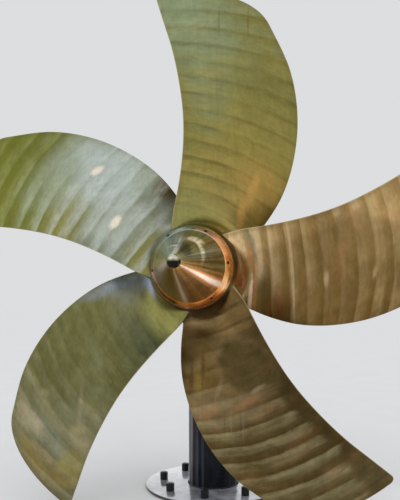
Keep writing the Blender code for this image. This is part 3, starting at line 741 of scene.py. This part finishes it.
def blade_grid():
    """The blade's two skins as (row, step) arrays of radius, angle and distance ahead, each point's place on
    the blade's map, which is its distance along the helix and its radius, and its distance from the edge."""
    rows = blade_rows()
    radius, leading, trailing, swell, follow = (rows[:, i:i + 1] for i in range(5))
    both_swells = swell * (1 + TRAILING_SWELL_SHARE)
    chord = leading + trailing + both_swells
    along = (1 - np.cos(np.pi * np.arange(CHORD_STEPS + 1) / CHORD_STEPS)) / 2
    place = leading + swell - along * chord
    radii = np.broadcast_to(radius, place.shape)
    full_leading = station_curve(LEADING_EDGE, radius)
    full_chord = full_leading + station_curve(TRAILING_EDGE, radius) + both_swells
    chord_share = np.clip((full_leading + swell - place) / full_chord, 0, 1)
    bulge = 4 * chord_share * (1 - chord_share)
    root_gap = np.minimum(along, 1 - along) * chord
    edge_gap = np.where(follow > 0, root_gap, distance_to_outline(place, radii, rows))

    share = np.clip((radius - HUB_RADIUS) / BLADE_SPAN, 0, 1)
    depth = EDGE_THICKNESS + (section_value(BLADE_THICKNESS, TIP_THICKNESS, radius) - EDGE_THICKNESS) * bulge
    face = swell * bulge**0.5 - BLADE_HOLLOW * bulge * (1 - share**3)
    back = -depth - swell * bulge**0.5
    middle = (face + back) / 2
    open_share = np.sqrt(1 - (1 - np.clip(edge_gap / EDGE_ROUNDING, 0, 1)) ** 2)
    angle = np.arctan2(section_value(BLADE_PITCH, TIP_PITCH, radius), math.tau * radius)
    root = HUB_FRONT - BLADE_ROOT_FROM_FRONT + BLADE_RAKE * (radius - HUB_RADIUS) / BLADE_SPAN
    skins = []
    for skin in (face, back):
        lift = middle + (skin - middle) * open_share
        turn = (place * np.cos(angle) + lift * np.sin(angle)) / radius
        ahead = root - place * np.sin(angle) + lift * np.cos(angle)
        skins.append((radius + follow * (hub_radius(ahead) - HUB_RADIUS), turn, ahead))
    return skins, np.stack((place, radii), axis=-1), edge_gap


def propeller_mesh():
    """The hub and its five blades. Each point keeps its place on the blade's map in blade_map, and how far it
    is from the blade's edge in edge_gap."""
    (face, back), blade_map, edge_gap = blade_grid()
    grids = []
    for blade in range(BLADE_COUNT):
        for slot, flip, (radius, turn, ahead) in ((blade + 1, False, face), (BACK_SLOT, True, back)):
            skin = along_shaft(radius, turn + blade * BLADE_ANGLE, ahead)
            grids.append((skin, blade_map, edge_gap, slot, {"flip": flip}))
    profile = hub_profile()
    angles = np.arange(ROUND_STEPS)[:, None] * math.tau / ROUND_STEPS
    radii, aheads = (np.broadcast_to(values, (ROUND_STEPS, len(profile))) for values in profile.T)
    hub_map = np.stack((np.broadcast_to(angles * HUB_RADIUS, radii.shape), radii), axis=-1)
    grids.append((along_shaft(radii, angles, aheads), hub_map, np.ones(radii.shape), 0, {"closed": True}))

    points, faces, slots, places, gaps = [], [], [], [], []
    for grid, own_map, gap, slot, way in grids:
        own = grid_faces(*gap.shape, offset=len(points), **way)
        points += grid.reshape(-1, 3).tolist()
        faces += own
        slots += [slot] * len(own)
        places.append(own_map.reshape(-1, 2))
        gaps.append(gap.ravel())
    mesh = bpy.data.meshes.new("mesh")
    mesh.from_pydata(points, [], faces)
    mesh.polygons.foreach_set("material_index", slots)
    layer = mesh.uv_layers.new(name="blade_map")
    corner_points = np.zeros(len(mesh.loops), dtype=np.int32)
    mesh.loops.foreach_get("vertex_index", corner_points)
    layer.uv.foreach_set("vector", np.concatenate(places)[corner_points].astype(np.float32).ravel())
    gap_layer = mesh.attributes.new("edge_gap", "FLOAT", "POINT")
    gap_layer.data.foreach_set("value", np.concatenate(gaps).astype(np.float32))
    return cleaned(mesh)


# Pieces of the stand

def level_centre(name):
    """A move to the middle of a node, seen from above."""
    low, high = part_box(name)
    return Matrix.Translation(((low.x + high.x) / 2, (low.y + high.y) / 2, 0))


def add_base_plate():
    low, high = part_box("base_plate")
    disc = turned_mesh(rod((high.x - low.x) / 2, low.z, high.z), PLATE_CORNER)
    holes = []
    for index in range(1, ANCHOR_COUNT + 1):
        hole = spun_mesh(rod(STUD_DIAMETER / 2 + HOLE_CLEARANCE, -high.z, 2 * high.z), HOLE_STEPS)
        hole.transform(level_centre(f"anchor_nut_{index}"))
        holes.append(hole)
    # The plate's heavy dust is partly real dust and partly a painted reflection that lightens the plate.
    finish = gloss_paint("plate_paint", dust_and_reflection=0.62, gloss=PLATE_SPECULAR, shine=0.08)
    add_piece("base_plate_disc", cut(disc, holes), ["base_plate"], [finish])


def add_anchor_nuts(finish):
    plate_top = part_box("base_plate")[1].z
    for index in range(1, ANCHOR_COUNT + 1):
        node = f"anchor_nut_{index}"
        low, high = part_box(node)
        nut = hexagon_mesh(NUT_ACROSS_FLATS, plate_top + FIT_GAP, high.z - STUD_ABOVE_NUT)
        stud = turned_mesh(rod(STUD_DIAMETER / 2, low.z, high.z), STUD_ABOVE_NUT / 2, SMALL_ROUND_STEPS)
        mesh = one_mesh([nut, stud])
        mesh.transform(level_centre(node))
        add_piece(f"anchor_nut_and_stud_{index}", mesh, [node], [finish])


def add_post(finish):
    low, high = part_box("post")
    outer = (high.x - low.x) / 2
    pipe = turned_mesh(tube(outer, outer - POST_WALL, low.z, high.z), PIPE_CORNER)
    tunnel = spun_mesh(rod(SHAFT_RADIUS + FIT_GAP, -2 * outer, 2 * outer))
    tunnel.transform(ALONG_SHAFT)
    add_piece("post_pipe", cut(pipe, [tunnel]), ["post"], [finish])

    turns = np.arange(FOOT_BEAD_STEPS) * math.tau / FOOT_BEAD_STEPS
    path = np.stack((outer * np.cos(turns), outer * np.sin(turns), np.full(len(turns), low.z)), axis=-1)
    outward = np.stack((np.cos(turns), np.sin(turns), np.ones(len(turns))), axis=-1)
    add_piece("post_foot_weld", bead_mesh(path, outward, FOOT_BEAD_RIPPLES), [], [finish])
    turns = np.arange(SHAFT_BEAD_STEPS) * math.tau / SHAFT_BEAD_STEPS
    across, rise = np.cos(turns), np.sin(turns)
    depth = np.sqrt(outer**2 - (SHAFT_RADIUS * across) ** 2)
    for side, name in ((-1, "front"), (1, "back")):
        path = np.stack((SHAFT_RADIUS * across, side * depth, SHAFT_HEIGHT + SHAFT_RADIUS * rise), axis=-1)
        outward = np.stack((across, np.full(len(turns), float(side)), rise), axis=-1)
        bead = bead_mesh(path, outward, SHAFT_BEAD_RIPPLES)
        add_piece(f"shaft_weld_{name}", bead, [], [finish])

    low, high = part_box("post_cap")
    cap = turned_mesh(rod((high.x - low.x) / 2, low.z, high.z), CAP_CORNER)
    add_piece("post_cap_disc", cap, ["post_cap"], [finish])


def add_turned(name, node, outline, corner_size, finish):
    """A turned part with softened corners on the shaft's line. Heights in its outline run ahead."""
    mesh = turned_mesh(outline, corner_size)
    mesh.transform(ALONG_SHAFT)
    add_piece(name, mesh, [node], [finish])


def add_shaft(paint, bolt_finish):
    front, back, radius = shaft_span("shaft")
    add_turned("shaft_turned", "shaft", rod(radius, back, front), SHAFT_CORNER, turned_steel())
    front, back, outer = shaft_span("thrust_collar")
    outline = tube(outer, radius + FIT_GAP, back, front)
    add_turned("thrust_collar_ring", "thrust_collar", outline, COLLAR_CORNER, paint)
    front, back, outer = shaft_span("shaft_end_plate")
    add_turned("shaft_end_disc", "shaft_end_plate", rod(outer, back, front), CAP_CORNER, paint)
    for index in range(1, END_BOLT_COUNT + 1):
        node = f"end_bolt_{index}"
        low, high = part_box(node)
        head = hexagon_mesh(END_BOLT_ACROSS_FLATS, 0, high.y - low.y)
        head.transform(ALONG_SHAFT)
        rise = (low.z + high.z) / 2 - SHAFT_HEIGHT
        head.transform(Matrix.Translation(((low.x + high.x) / 2, high.y, rise)))
        add_piece(f"end_bolt_head_{index}", head, [node], [bolt_finish])


# Pieces of the cap

def ring_outline():
    """The ring's section. Its first two points are the ends of the slope that carries the plugs."""
    front, back, outer = shaft_span("cap_ring")
    bore, nose = RING_BORE_DIAMETER / 2, RING_FRONT_DIAMETER / 2
    shoulder = ((nose + outer) / 2 + RING_RIM / 4, (front + back + RING_RIM) / 2)
    return [(nose, front), shoulder, (outer, back + RING_RIM), (outer, back), (bore, back), (bore, front)]


def add_cone():
    front, back, base = shaft_span("cone")
    nose = CONE_NOSE_DIAMETER / 2
    inner_front = front - CONE_WALL
    inner_nose = nose - CONE_WALL + (base - nose) / (front - back) * CONE_WALL
    outside = [(0.0, front), (nose, front), (base, back)]
    inside = [(base - CONE_WALL, back), (inner_nose, inner_front), (0.0, inner_front)]
    add_turned("cone_shell", "cone", outside + inside, CONE_CORNER, cone_bronze())


def add_knob():
    front, back = shaft_span("cone_knob")[:2]
    neck = KNOB_NECK_DIAMETER / 2
    centre = back + KNOB_NECK_LENGTH
    ball = front - centre
    turns = np.linspace(0, math.pi - math.asin(neck / ball), KNOB_STEPS)
    outline = [*zip(ball * np.sin(turns), centre + ball * np.cos(turns)), (neck, back), (0.0, back)]
    mesh = spun_mesh(outline, SMALL_ROUND_STEPS)
    mesh.transform(ALONG_SHAFT)
    add_piece("knob_ball", mesh, ["cone_knob"], [knob_steel()])


def screw_outline(angle):
    """A flush plug with a hexagon socket in its face."""
    radius, top = RIM_SCREW_DIAMETER / 2, RIM_SCREW_HEAD
    socket = hexagon_radius(angle, RIM_SOCKET_ACROSS_FLATS)
    floor = top - RIM_SOCKET_DEPTH
    inside = [(0.0, floor), (socket, floor), (socket, top)]
    rim = [(radius - RIM_SCREW_CHAMFER, top), (radius, top - RIM_SCREW_CHAMFER)]
    return [*inside, *rim, (radius, 0.0), (0.0, 0.0)]


def add_rim_screws():
    (front_radius, front), (bend_radius, bend) = ring_outline()[:2]
    tilt = math.atan2(front - bend, bend_radius - front_radius)
    middle = Matrix.Translation((0.0, (bend_radius + front_radius) / 2, (bend + front) / 2))
    finish = screw_steel()
    for index in range(1, RIM_SCREW_COUNT + 1):
        node = f"rim_screw_{index}"
        low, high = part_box(node)
        angle = math.atan2(low.x + high.x, low.z + high.z - 2 * SHAFT_HEIGHT)
        mesh = spun_mesh(screw_outline, SMALL_ROUND_STEPS)
        mesh.transform(Matrix.Translation((0, 0, FIT_GAP)))
        place = Matrix.Rotation(-angle, 4, "Z") @ middle @ Matrix.Rotation(-tilt, 4, "X")
        mesh.transform(ALONG_SHAFT @ place)
        add_piece(f"rim_plug_{index}", mesh, [node], [finish])


# Finishes

def tone(name):
    """A named tone as linear light."""
    channels = [value / 255 for value in TONES[name]]
    return (*[c / 12.92 if c <= 0.04045 else ((c + 0.055) / 1.055) ** 2.4 for c in channels], 1)


class Value:
    """A number, a place or a colour that varies over the surface: what one node gives."""

    def __init__(self, nodes, socket):
        self.nodes = nodes
        self.socket = socket

    def maths(self, operation, *others):
        return self.nodes.node("Math", (self, *others), operation=operation)

    def __add__(self, other):
        return self.maths("ADD", other)

    def __sub__(self, other):
        return self.maths("SUBTRACT", other)

    def __mul__(self, other):
        return self.maths("MULTIPLY", other)

    def __truediv__(self, other):
        return self.maths("DIVIDE", other)

    def rest_of(self, whole):
        return self * -1.0 + whole

    def turn(self, other):
        """The angle of a place with this number and another one, from 0 to 1, with the other's way at 0.5."""
        return self.maths("ARCTAN2", other) * (1 / math.tau) + 0.5

    def swayed(self, noise, amount):
        """This number moved back and forth by a noise that swings about 0.5."""
        return noise * amount + (self - amount / 2)

    def spread(self, low, high, to_low=0.0, to_high=1.0):
        """This number carried smoothly from one range to another."""
        values = (self, low, high, to_low, to_high)
        return self.nodes.node("MapRange", values, interpolation_type="SMOOTHSTEP")

    def between(self, first, second):
        """The colour that lies this share of the way from the first to the second."""
        return self.nodes.node("Mix", {0: self, 6: first, 7: second}, 2, data_type="RGBA")

    def parts(self):
        """A place's three numbers."""
        first = self.nodes.node("SeparateXYZ", (self,))
        return [Value(self.nodes, socket) for socket in first.socket.node.outputs]

    def scaled(self, factor):
        """A place or colour times a number, or times one number for each of its three."""
        if isinstance(factor, tuple):
            return self.nodes.node("VectorMath", (self, factor), operation="MULTIPLY")
        return self.nodes.node("VectorMath", {0: self, "Scale": factor}, operation="SCALE")

    def varied(self, noise, amount):
        """This colour made lighter and darker by a noise that swings about 0.5."""
        return self.scaled(noise.spread(0.25, 0.75, 1 - amount, 1 + amount))

    def noise(self, scale=1.0, detail=3.0, roughness=0.5, distortion=0.0):
        """A noise at this place. A scale of three numbers stretches it."""
        if isinstance(scale, tuple):
            return self.scaled(scale).noise(1.0, detail, roughness, distortion)
        settings = {"Scale": scale, "Detail": detail, "Roughness": roughness, "Distortion": distortion}
        return self.nodes.node("TexNoise", {"Vector": self, **settings}, "Fac")

    def ramp(self, stops, interpolation="EASE"):
        """A tone or a grey for each value between 0 and 1, from a table of stops."""
        result = self.nodes.node("ValToRGB", (self,))
        color_ramp = result.socket.node.color_ramp
        color_ramp.interpolation = interpolation
        while len(color_ramp.elements) < len(stops):
            color_ramp.elements.new(0.5)
        for element, (position, shade) in zip(color_ramp.elements, stops.items()):
            element.position = position
            element.color = tone(shade) if isinstance(shade, str) else (shade, shade, shade, 1)
        return result

    def over_span(self, stops):
        """A tone or strength for each radius of a blade, from a table of stops in metres."""
        return (self / TIP_RADIUS).ramp({stop / TIP_RADIUS: shade for stop, shade in stops.items()})

    def patch(self, ragged, edge, strength, x, y, half_x, half_y, turn=0):
        """A soft-edged ragged ellipse on this map: its strength inside, 0 outside."""
        raggedness, softness = edge
        inputs = (self, (x, y, 0), (0, 0, math.radians(turn)), (half_x, half_y, 1))
        mapped = self.nodes.node("Mapping", inputs, vector_type="TEXTURE")
        distance = self.nodes.node("VectorMath", (mapped,), "Value", operation="LENGTH")
        start = 1 + raggedness / 2
        return (ragged * raggedness + distance).spread(start + softness, start - softness, 0.0, strength)


class Nodes:
    """The nodes of a material or of the world."""

    def __init__(self, owner):
        owner.use_nodes = True
        self.tree = owner.node_tree

    def put(self, socket, value):
        """Link a value that varies over the surface, or set one that doesn't. A text is a tone's name."""
        if isinstance(value, Value):
            self.tree.links.new(value.socket, socket)
        else:
            socket.default_value = tone(value) if isinstance(value, str) else value

    def node(self, kind, inputs=(), output=0, **settings):
        """What a new node gives. Its inputs are in its sockets' order, or in a table by name or number."""
        node = self.tree.nodes.new("ShaderNode" + kind)
        for key, value in settings.items():
            setattr(node, key, value)
        for key, value in inputs.items() if isinstance(inputs, dict) else enumerate(inputs):
            self.put(node.inputs[key], value)
        return Value(self, node.outputs[output])


class Finish(Nodes):
    """One material's nodes. Its place is the point's own place on the part, in metres."""

    def __init__(self, name, metallic=1.0):
        self.material = bpy.data.materials.new(name)
        super().__init__(self.material)
        self.shader = self.tree.nodes["Principled BSDF"]
        self.metallic = metallic
        self.place = self.node("TexCoord", output="Object")

    def chart(self, first, second):
        """A place on a flat map from two numbers."""
        return self.node("CombineXYZ", (first, second))

    def shaft_place(self):
        """Distance from the shaft's line, angle round it from 0 to 1 with up at 0.5, and distance ahead."""
        across, back, height = self.place.parts()
        rise = height - SHAFT_HEIGHT
        reach = (across * across + rise * rise).maths("SQRT")
        return reach, across.turn(rise), back * -1.0

    def marked(self, colour, chart, ragged, marks, edge, glint_share=None):
        """A colour with ragged marks over it. Where a glint_share is given, the marks are painted glints:
        they are made less metallic, so that they shine evenly.
        """
        for shade, *mark in marks:
            share = chart.patch(ragged, edge, *mark)
            if glint_share is not None:
                share = share * glint_share
                self.metallic = share.rest_of(1.0) * self.metallic
            colour = share.between(colour, shade)
        return colour

    def finished(self, colour, roughness, height=None, distance=1.0, strength=0.6):
        inputs = {"Base Color": colour, "Roughness": roughness, "Metallic": self.metallic}
        if height is not None:
            bump = {"Strength": strength, "Distance": distance, "Height": height}
            inputs["Normal"] = self.node("Bump", bump)
        for key, value in inputs.items():
            self.put(self.shader.inputs[key], value)
        return self.material


def ground_bands(finish, look, helix, radius, mottle):
    """The grinding that runs across a blade in bands: its height, its share of light streaks, which are
    painted highlights, its dark lines, which are painted shade, a wavy and a smooth map that follow the
    bands, the streaks' noise, and the trailing strip's painted brightness."""
    amount, centre, gone_above = look["bend"]
    off_centre = helix - centre
    rooted = radius.spread(BEND_FULL_BELOW, gone_above, 1.0, 0.0)
    curved = radius - off_centre * off_centre * amount * rooted
    bent = mottle * BAND_WANDER + curved
    along = finish.chart(helix, bent)
    through = ((bent - (look["first_band"] + BAND_WANDER / 2)) / look["band_width"]).maths("FRACT")
    ridge = through.ramp(BAND_PROFILE)
    uneven, streaks = along.noise(*UNEVEN), along.noise(*STREAKS)
    line = through.ramp(BAND_LINE) * uneven.spread(0.40, 0.60, 0.2, 1.0)
    share = ridge * uneven.spread(0.30, 0.66, 0.35, 1.05)
    share = share + streaks.spread(0.30, 0.70, -look["streaks"], look["streaks"])

    near_hub, near_tip, stronger, brighter = look["strip"]
    past = uneven * STRIP_WANDER + helix - radius.spread(*STRIP_TURNS, near_hub, near_tip)
    strip = past.spread(STRIP_WANDER, STRIP_WANDER / 4)
    share = share * (strip * stronger) + share
    return ridge, share, line, along, finish.chart(helix, curved), streaks, strip * brighter + 1.0


def blade_bronze(name, own_look):
    """Ground and tarnished bronze: tones over the blade that are partly painted reflection, ground bands with
    painted highlights and painted shade lines, patches, painted glints, drips and a worn edge.
    """
    look = PLAIN_LOOK | own_look
    finish = Finish(name)
    flat = finish.node("UVMap", uv_map="blade_map")
    helix, radius = flat.parts()[:2]
    mottle, cloud, grain, blotches = (flat.noise(*kind) for kind in (MOTTLE, CLOUD, GRAIN, BLOTCHES))
    ridge, share, line, along, curved_map, streaks, strip_highlight = ground_bands(finish, look, helix, radius, mottle)
    brushing, flecks, tints = (along.noise(*kind) for kind in (BRUSHING, FLECKS, TINTS))
    strokes, drips = (finish.place.noise(*kind) for kind in (STROKES, DRIPS))

    # The tones, partly painted reflection, run from the trailing edge to the leading edge, and the streaks
    # are painted highlights on the ground bands.
    across = (cloud * TONE_WANDER + helix).spread(*TONES_CROSS)
    colour = across.between(radius.over_span(look["trailing"]), radius.over_span(look["leading"]))
    colour = finish.marked(colour, curved_map, streaks, look["patches"], PATCH_EDGE)
    where = radius.over_span(look["band_highlight_share"])
    light = radius.over_span(look["light"])
    band_highlight_share = share.spread(0.0, 1.15) * where
    colour = band_highlight_share.between(colour, light)
    colour = flecks.spread(0.60, 0.72, 0.0, look["flecks"]).between(colour, light)
    # The dark line between bands is painted shade.
    line_tone, line_strength = look["line"]
    colour = (line * line_strength).between(colour, line_tone)
    colour = finish.marked(colour, curved_map, mottle, look["discs"], DISC_EDGE)
    # The glints are painted highlights.
    colour = finish.marked(colour, curved_map, grain, look["glints"], GLINT_EDGE, glint_share=1.0)
    colour = finish.marked(colour, curved_map, grain, look["marks"], MARK_EDGE)
    tint_tone, tint_strength = look["tint"]
    colour = tints.spread(0.50, 0.74, 0.0, tint_strength).between(colour, tint_tone)
    # The trailing strip's brightness is painted light.
    colour = colour.scaled(strip_highlight)
    colour = colour.varied(mottle, look["mottle"]).varied(blotches, look["blotches"])
    colour = colour.varied(brushing, 0.05).varied(strokes, 0.05).varied(grain, 0.07)

    # Rain marks run straight down, and the worn edge is bright.
    colour = (drips.spread(0.50, 0.76) * look["drips"]).between(colour, "rust")
    edge_gap = finish.node("Attribute", output="Fac", attribute_name="edge_gap")
    colour = edge_gap.spread(*GRIME_REACH, 0.0, look["edge_grime"]).between(colour, "umber")
    worn = (grain * WORN_WANDER + edge_gap).spread(*WORN_REACH)
    colour = (worn * look["worn_edge"]).between(colour, "worn_edge")

    rough = mottle.spread(0.2, 0.8, look["roughness"] - 0.06, look["roughness"] + 0.10)
    height = ridge * where * BAND_DEPTH + (brushing * BRUSH_DEPTH + mottle * MOTTLE_DEPTH)
    return finish.finished(colour, band_highlight_share * -0.08 + rough, height)


def hub_bronze():
    """The hub's casting: the tone of each blade's root in turn, partly painted reflection, with painted shade
    in the hollow round the ring, painted reflections beside it, and darker towards the back.
    """
    finish = Finish("hub_bronze")
    reach, share, ahead = finish.shaft_place()
    mottle = finish.place.noise(7.0, 5.0, 0.6, 0.5)
    lines = finish.chart(share * 3.0, ahead * HUB_LINES).noise(1.0, 4.0, 0.6)
    front = HUB_FRONT_DIAMETER / 2
    colour = share.swayed(mottle, 0.05).ramp(HUB_TONES)
    # Painted shade in the hollow round the ring.
    colour = reach.spread(front + HUB_SHADE_REACH, front + HUB_LIP, 0.0, 0.85).between(colour, "groove")
    # Painted reflections beside the ring.
    colour = finish.marked(colour, finish.chart(share, reach), mottle, HUB_PAINTED_REFLECTIONS, HUB_EDGE)
    # Darker towards the back.
    colour = ahead.spread(HUB_FRONT - HUB_BRIGHT_LENGTH, HUB_BACK, 0.0, 0.6).between(colour, "umber")
    colour = colour.varied(mottle, 0.22).varied(lines, 0.10)
    height = lines * HUB_LINE_DEPTH + mottle * MOTTLE_DEPTH
    return finish.finished(colour, mottle.spread(0.2, 0.8, 0.24, 0.40), height)


def ring_copper():
    """A turned copper ring with painted highlights and reflections, bright on its right and dull on its left,
    and fine turning lines.
    """
    finish = Finish("ring_copper")
    share, ahead = finish.shaft_place()[1:]
    mottle = finish.place.noise(16.0, 5.0, 0.65)
    lines = finish.chart(share, ahead * RING_LINES).noise()
    colour = share.swayed(mottle, 0.06).ramp(RING_REFLECTION_TONES)
    colour = colour.varied(mottle, 0.20).varied(lines, 0.12)
    return finish.finished(colour, mottle.spread(0.25, 0.75, 0.20, 0.34), lines, 0.0003, 0.5)


def cone_bronze():
    """Polished turned bronze: broad tones of painted reflection that run from the nose to the base, a painted
    highlight wedge, painted highlight arcs broken by rays of painted reflection, and turning lines.
    """
    finish = Finish("cone_bronze")
    reach, share, ahead = finish.shaft_place()
    slow = finish.place.noise(5.0)
    smudge = finish.place.noise(30.0, 4.0, 0.7)
    rays = finish.chart(share * 60.0, reach * 3.0).noise(1.0, 4.0, 0.7)
    lines = finish.chart(share, reach * CONE_LINES).noise()
    chart = finish.chart(share, ahead.rest_of(CONE_FRONT) / (CONE_FRONT - CONE_BACK))
    colour = share.swayed(slow, 0.012).ramp(CONE_REFLECTION_TONES)
    colour = finish.marked(colour, chart, rays, CONE_PAINTED_REFLECTIONS, CONE_EDGE)
    glint_share = rays.spread(0.36, 0.54, 0.25, 1.0)
    colour = finish.marked(colour, chart, rays, CONE_GLINTS, CONE_GLINT_EDGE, glint_share)
    ray_shade = (rays.spread(0.38, 0.62, 0.60, 1.35) - 1.0) * share.ramp(RAY_STRENGTH, "LINEAR") + 1.0
    colour = colour.scaled(ray_shade).varied(lines, 0.10).varied(smudge, 0.10)
    return finish.finished(colour, smudge.spread(0.3, 0.7, 0.28, 0.38), lines, 0.0002, 0.35)


def knob_steel():
    """Polished steel, with painted shade underneath and a painted highlight on top."""
    finish = Finish("knob_steel")
    spots = finish.place.noise(70.0, 4.0, 0.7)
    low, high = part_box("cone_knob")
    shade_below = low.z + KNOB_SHADE_BELOW * (high.z - low.z)
    highlight_above = low.z + KNOB_HIGHLIGHT_ABOVE * (high.z - low.z)
    colour = finish.place.parts()[2].spread(shade_below, highlight_above).between("knob_painted_shade", "knob_painted_highlight")
    return finish.finished(colour.varied(spots, 0.25), spots.spread(0.3, 0.7, 0.12, 0.24), spots, 0.0004, 0.2)


def screw_steel():
    finish = Finish("screw_steel")
    spots = finish.place.noise(240.0, 3.0, 0.7)
    colour = spots.spread(0.35, 0.65).between("groove", "umber")
    return finish.finished(colour, spots.spread(0.3, 0.7, 0.3, 0.5), spots, 0.0003, 0.4)


def gloss_paint(name, dust_and_reflection, gloss, shine, streaks=()):
    """Gloss black paint over steel: a slight ripple, rain marks, and dust and grit on what looks up. On the
    plate the dust also stands in for a painted reflection, and streaks, where given, are painted sheens.
    """
    finish = Finish(name, metallic=0.0)
    finish.put(finish.shader.inputs["Specular IOR Level"], gloss)
    place = finish.place
    ripple, specks = place.noise(85.0, 2.0), place.noise(160.0, 2.0)
    wide = place.noise(6.0, 5.0, 0.65)
    runs = place.noise((34.0, 34.0, 1.6), 3.0, 0.6)
    upward = finish.node("NewGeometry", output="Normal").parts()[2].spread(0.5, 0.95)
    dust_and_reflection_share = upward * wide.spread(0.30, 0.70, 0.35 * dust_and_reflection, dust_and_reflection)
    grit = specks.spread(0.66, 0.72) * (upward * 0.75)
    run_share = runs.spread(0.52, 0.80, 0.0, 0.30) * upward.rest_of(1.0)
    colour = wide.spread(0.3, 0.7).between("paint_black", "paint_blue_black")
    colour = run_share.between(colour, "paint_faded")
    across, back, height = place.parts()
    # Streaks, where given, are painted sheens.
    colour = finish.marked(colour, finish.chart(across.turn(back), height), runs, streaks, POST_EDGE)
    colour = grit.between(dust_and_reflection_share.between(colour, "dust_and_reflection"), "grit")
    rough = wide.spread(0.3, 0.7, shine, shine + 0.08) + dust_and_reflection_share * 0.10
    return finish.finished(colour, rough, ripple + grit, 0.0004, 0.35)


def nut_paint():
    """Dull black coating on the nuts, greyed in spots."""
    finish = Finish("nut_coating", metallic=0.0)
    finish.put(finish.shader.inputs["Specular IOR Level"], NUT_SPECULAR)
    grain = finish.place.noise(120.0, 4.0, 0.7)
    wide = finish.place.noise(25.0)
    colour = grain.spread(0.35, 0.7).between("nut_black", "nut_worn").varied(wide, 0.3)
    return finish.finished(colour, wide.spread(0.3, 0.7, 0.32, 0.5), grain, 0.0006, 0.5)


def turned_steel():
    """The shaft's turned steel, dulled, with turning lines and brown weather stains."""
    finish = Finish("turned_steel")
    share, ahead = finish.shaft_place()[1:]
    lines = finish.chart(share, ahead * SHAFT_LINES).noise()
    stain = finish.place.noise(9.0, 5.0, 0.65)
    colour = stain.spread(0.45, 0.70).between("steel", "stain").varied(lines, 0.15)
    return finish.finished(colour, stain.spread(0.3, 0.7, 0.28, 0.5), lines, 0.0003, 0.5)


# Setting

def add_floor():
    """A plain pale floor, faintly uneven."""
    corners = [(-1, -1), (1, -1), (1, 1), (-1, 1)]
    mesh = bpy.data.meshes.new("floor")
    mesh.from_pydata([(x * FLOOR_REACH, y * FLOOR_REACH, 0) for x, y in corners], [], [(0, 1, 2, 3)])
    floor = new_object("floor", mesh)
    finish = Finish("floor", metallic=0.0)
    finish.put(finish.shader.inputs["Specular IOR Level"], 0.0)
    colour = finish.place.noise(1.5, 5.0).spread(0.3, 0.7).between("floor_low", "floor_high")
    mesh.materials.append(finish.finished(colour, 0.9))


def add_camera():
    data = bpy.data.cameras.new("camera")
    data.sensor_width = SENSOR_WIDTH
    data.lens = FOCAL_PIXELS / PHOTO_LONG_SIDE * SENSOR_WIDTH
    data.shift_y = (HORIZON_ROW - PHOTO_LONG_SIDE / 2) / PHOTO_LONG_SIDE
    camera = new_object("camera", data)
    camera.location = CAMERA_PLACE
    camera.rotation_euler = (math.pi / 2, 0.0, CAMERA_TURN)
    bpy.context.scene.camera = camera


def add_softbox(name, place, target, long_side, size, brightness):
    """A soft rectangular light whose face has the given brightness."""
    data = bpy.data.lights.new(name, "AREA")
    data.shape = "RECTANGLE"
    data.size, data.size_y = size
    data.energy = brightness * math.pi * size[0] * size[1]
    light = new_object(name, data)
    backward = (Vector(place) - Vector(target)).normalized()
    across = Vector(long_side).cross(backward).normalized()
    turn = Matrix((across, backward.cross(across), backward)).transposed().to_4x4()
    light.matrix_world = Matrix.Translation(place) @ turn
    light.visible_camera = False


def add_world():
    """Soft light that is strongest from the front, a soft glow behind, and a plain pale background."""
    world = bpy.data.worlds.new("studio")
    bpy.context.scene.world = world
    sky = Nodes(world)
    way = sky.node("TexCoord", output="Generated")
    front = sky.node("VectorMath", (way, FRONT_WAY), "Value", operation="DOT_PRODUCT")
    behind = sky.node("VectorMath", (way, BACK_GLOW_WAY), "Value", operation="DOT_PRODUCT")
    light = front.spread(-0.6, 0.6, WORLD_BACK, WORLD_FRONT) + behind.spread(0.65, 0.97, 0.0, BACK_GLOW)
    seen = sky.node("LightPath", output="Is Camera Ray")
    background = sky.tree.nodes["Background"]
    sky.put(background.inputs["Color"], WORLD_COLOUR)
    sky.put(background.inputs["Strength"], sky.node("Mix", {0: seen, 2: light, 3: BACKGROUND_BRIGHTNESS}))


add_world()
add_floor()
add_camera()
for light in SOFTBOXES:
    add_softbox(*light)

black_paint = gloss_paint("gloss_black", dust_and_reflection=0.20, gloss=PAINT_SPECULAR, shine=0.20, streaks=POST_PAINTED_SHEENS)
nut_finish = nut_paint()
add_base_plate()
add_anchor_nuts(nut_finish)
add_post(black_paint)
add_shaft(black_paint, nut_finish)
propeller_finishes = [hub_bronze()]
for number, look in enumerate(BLADE_LOOKS, start=1):
    propeller_finishes.append(blade_bronze(f"blade_bronze_{number}", look))
propeller_finishes.append(blade_bronze("blade_back_bronze", BACK_LOOK))
add_piece("propeller_casting", propeller_mesh(), ["propeller"], propeller_finishes)
add_turned("cap_ring_turned", "cap_ring", ring_outline(), RING_CORNER, ring_copper())
add_cone()
add_knob()
add_rim_screws()
bpy.context.scene.view_settings.view_transform = "Standard"
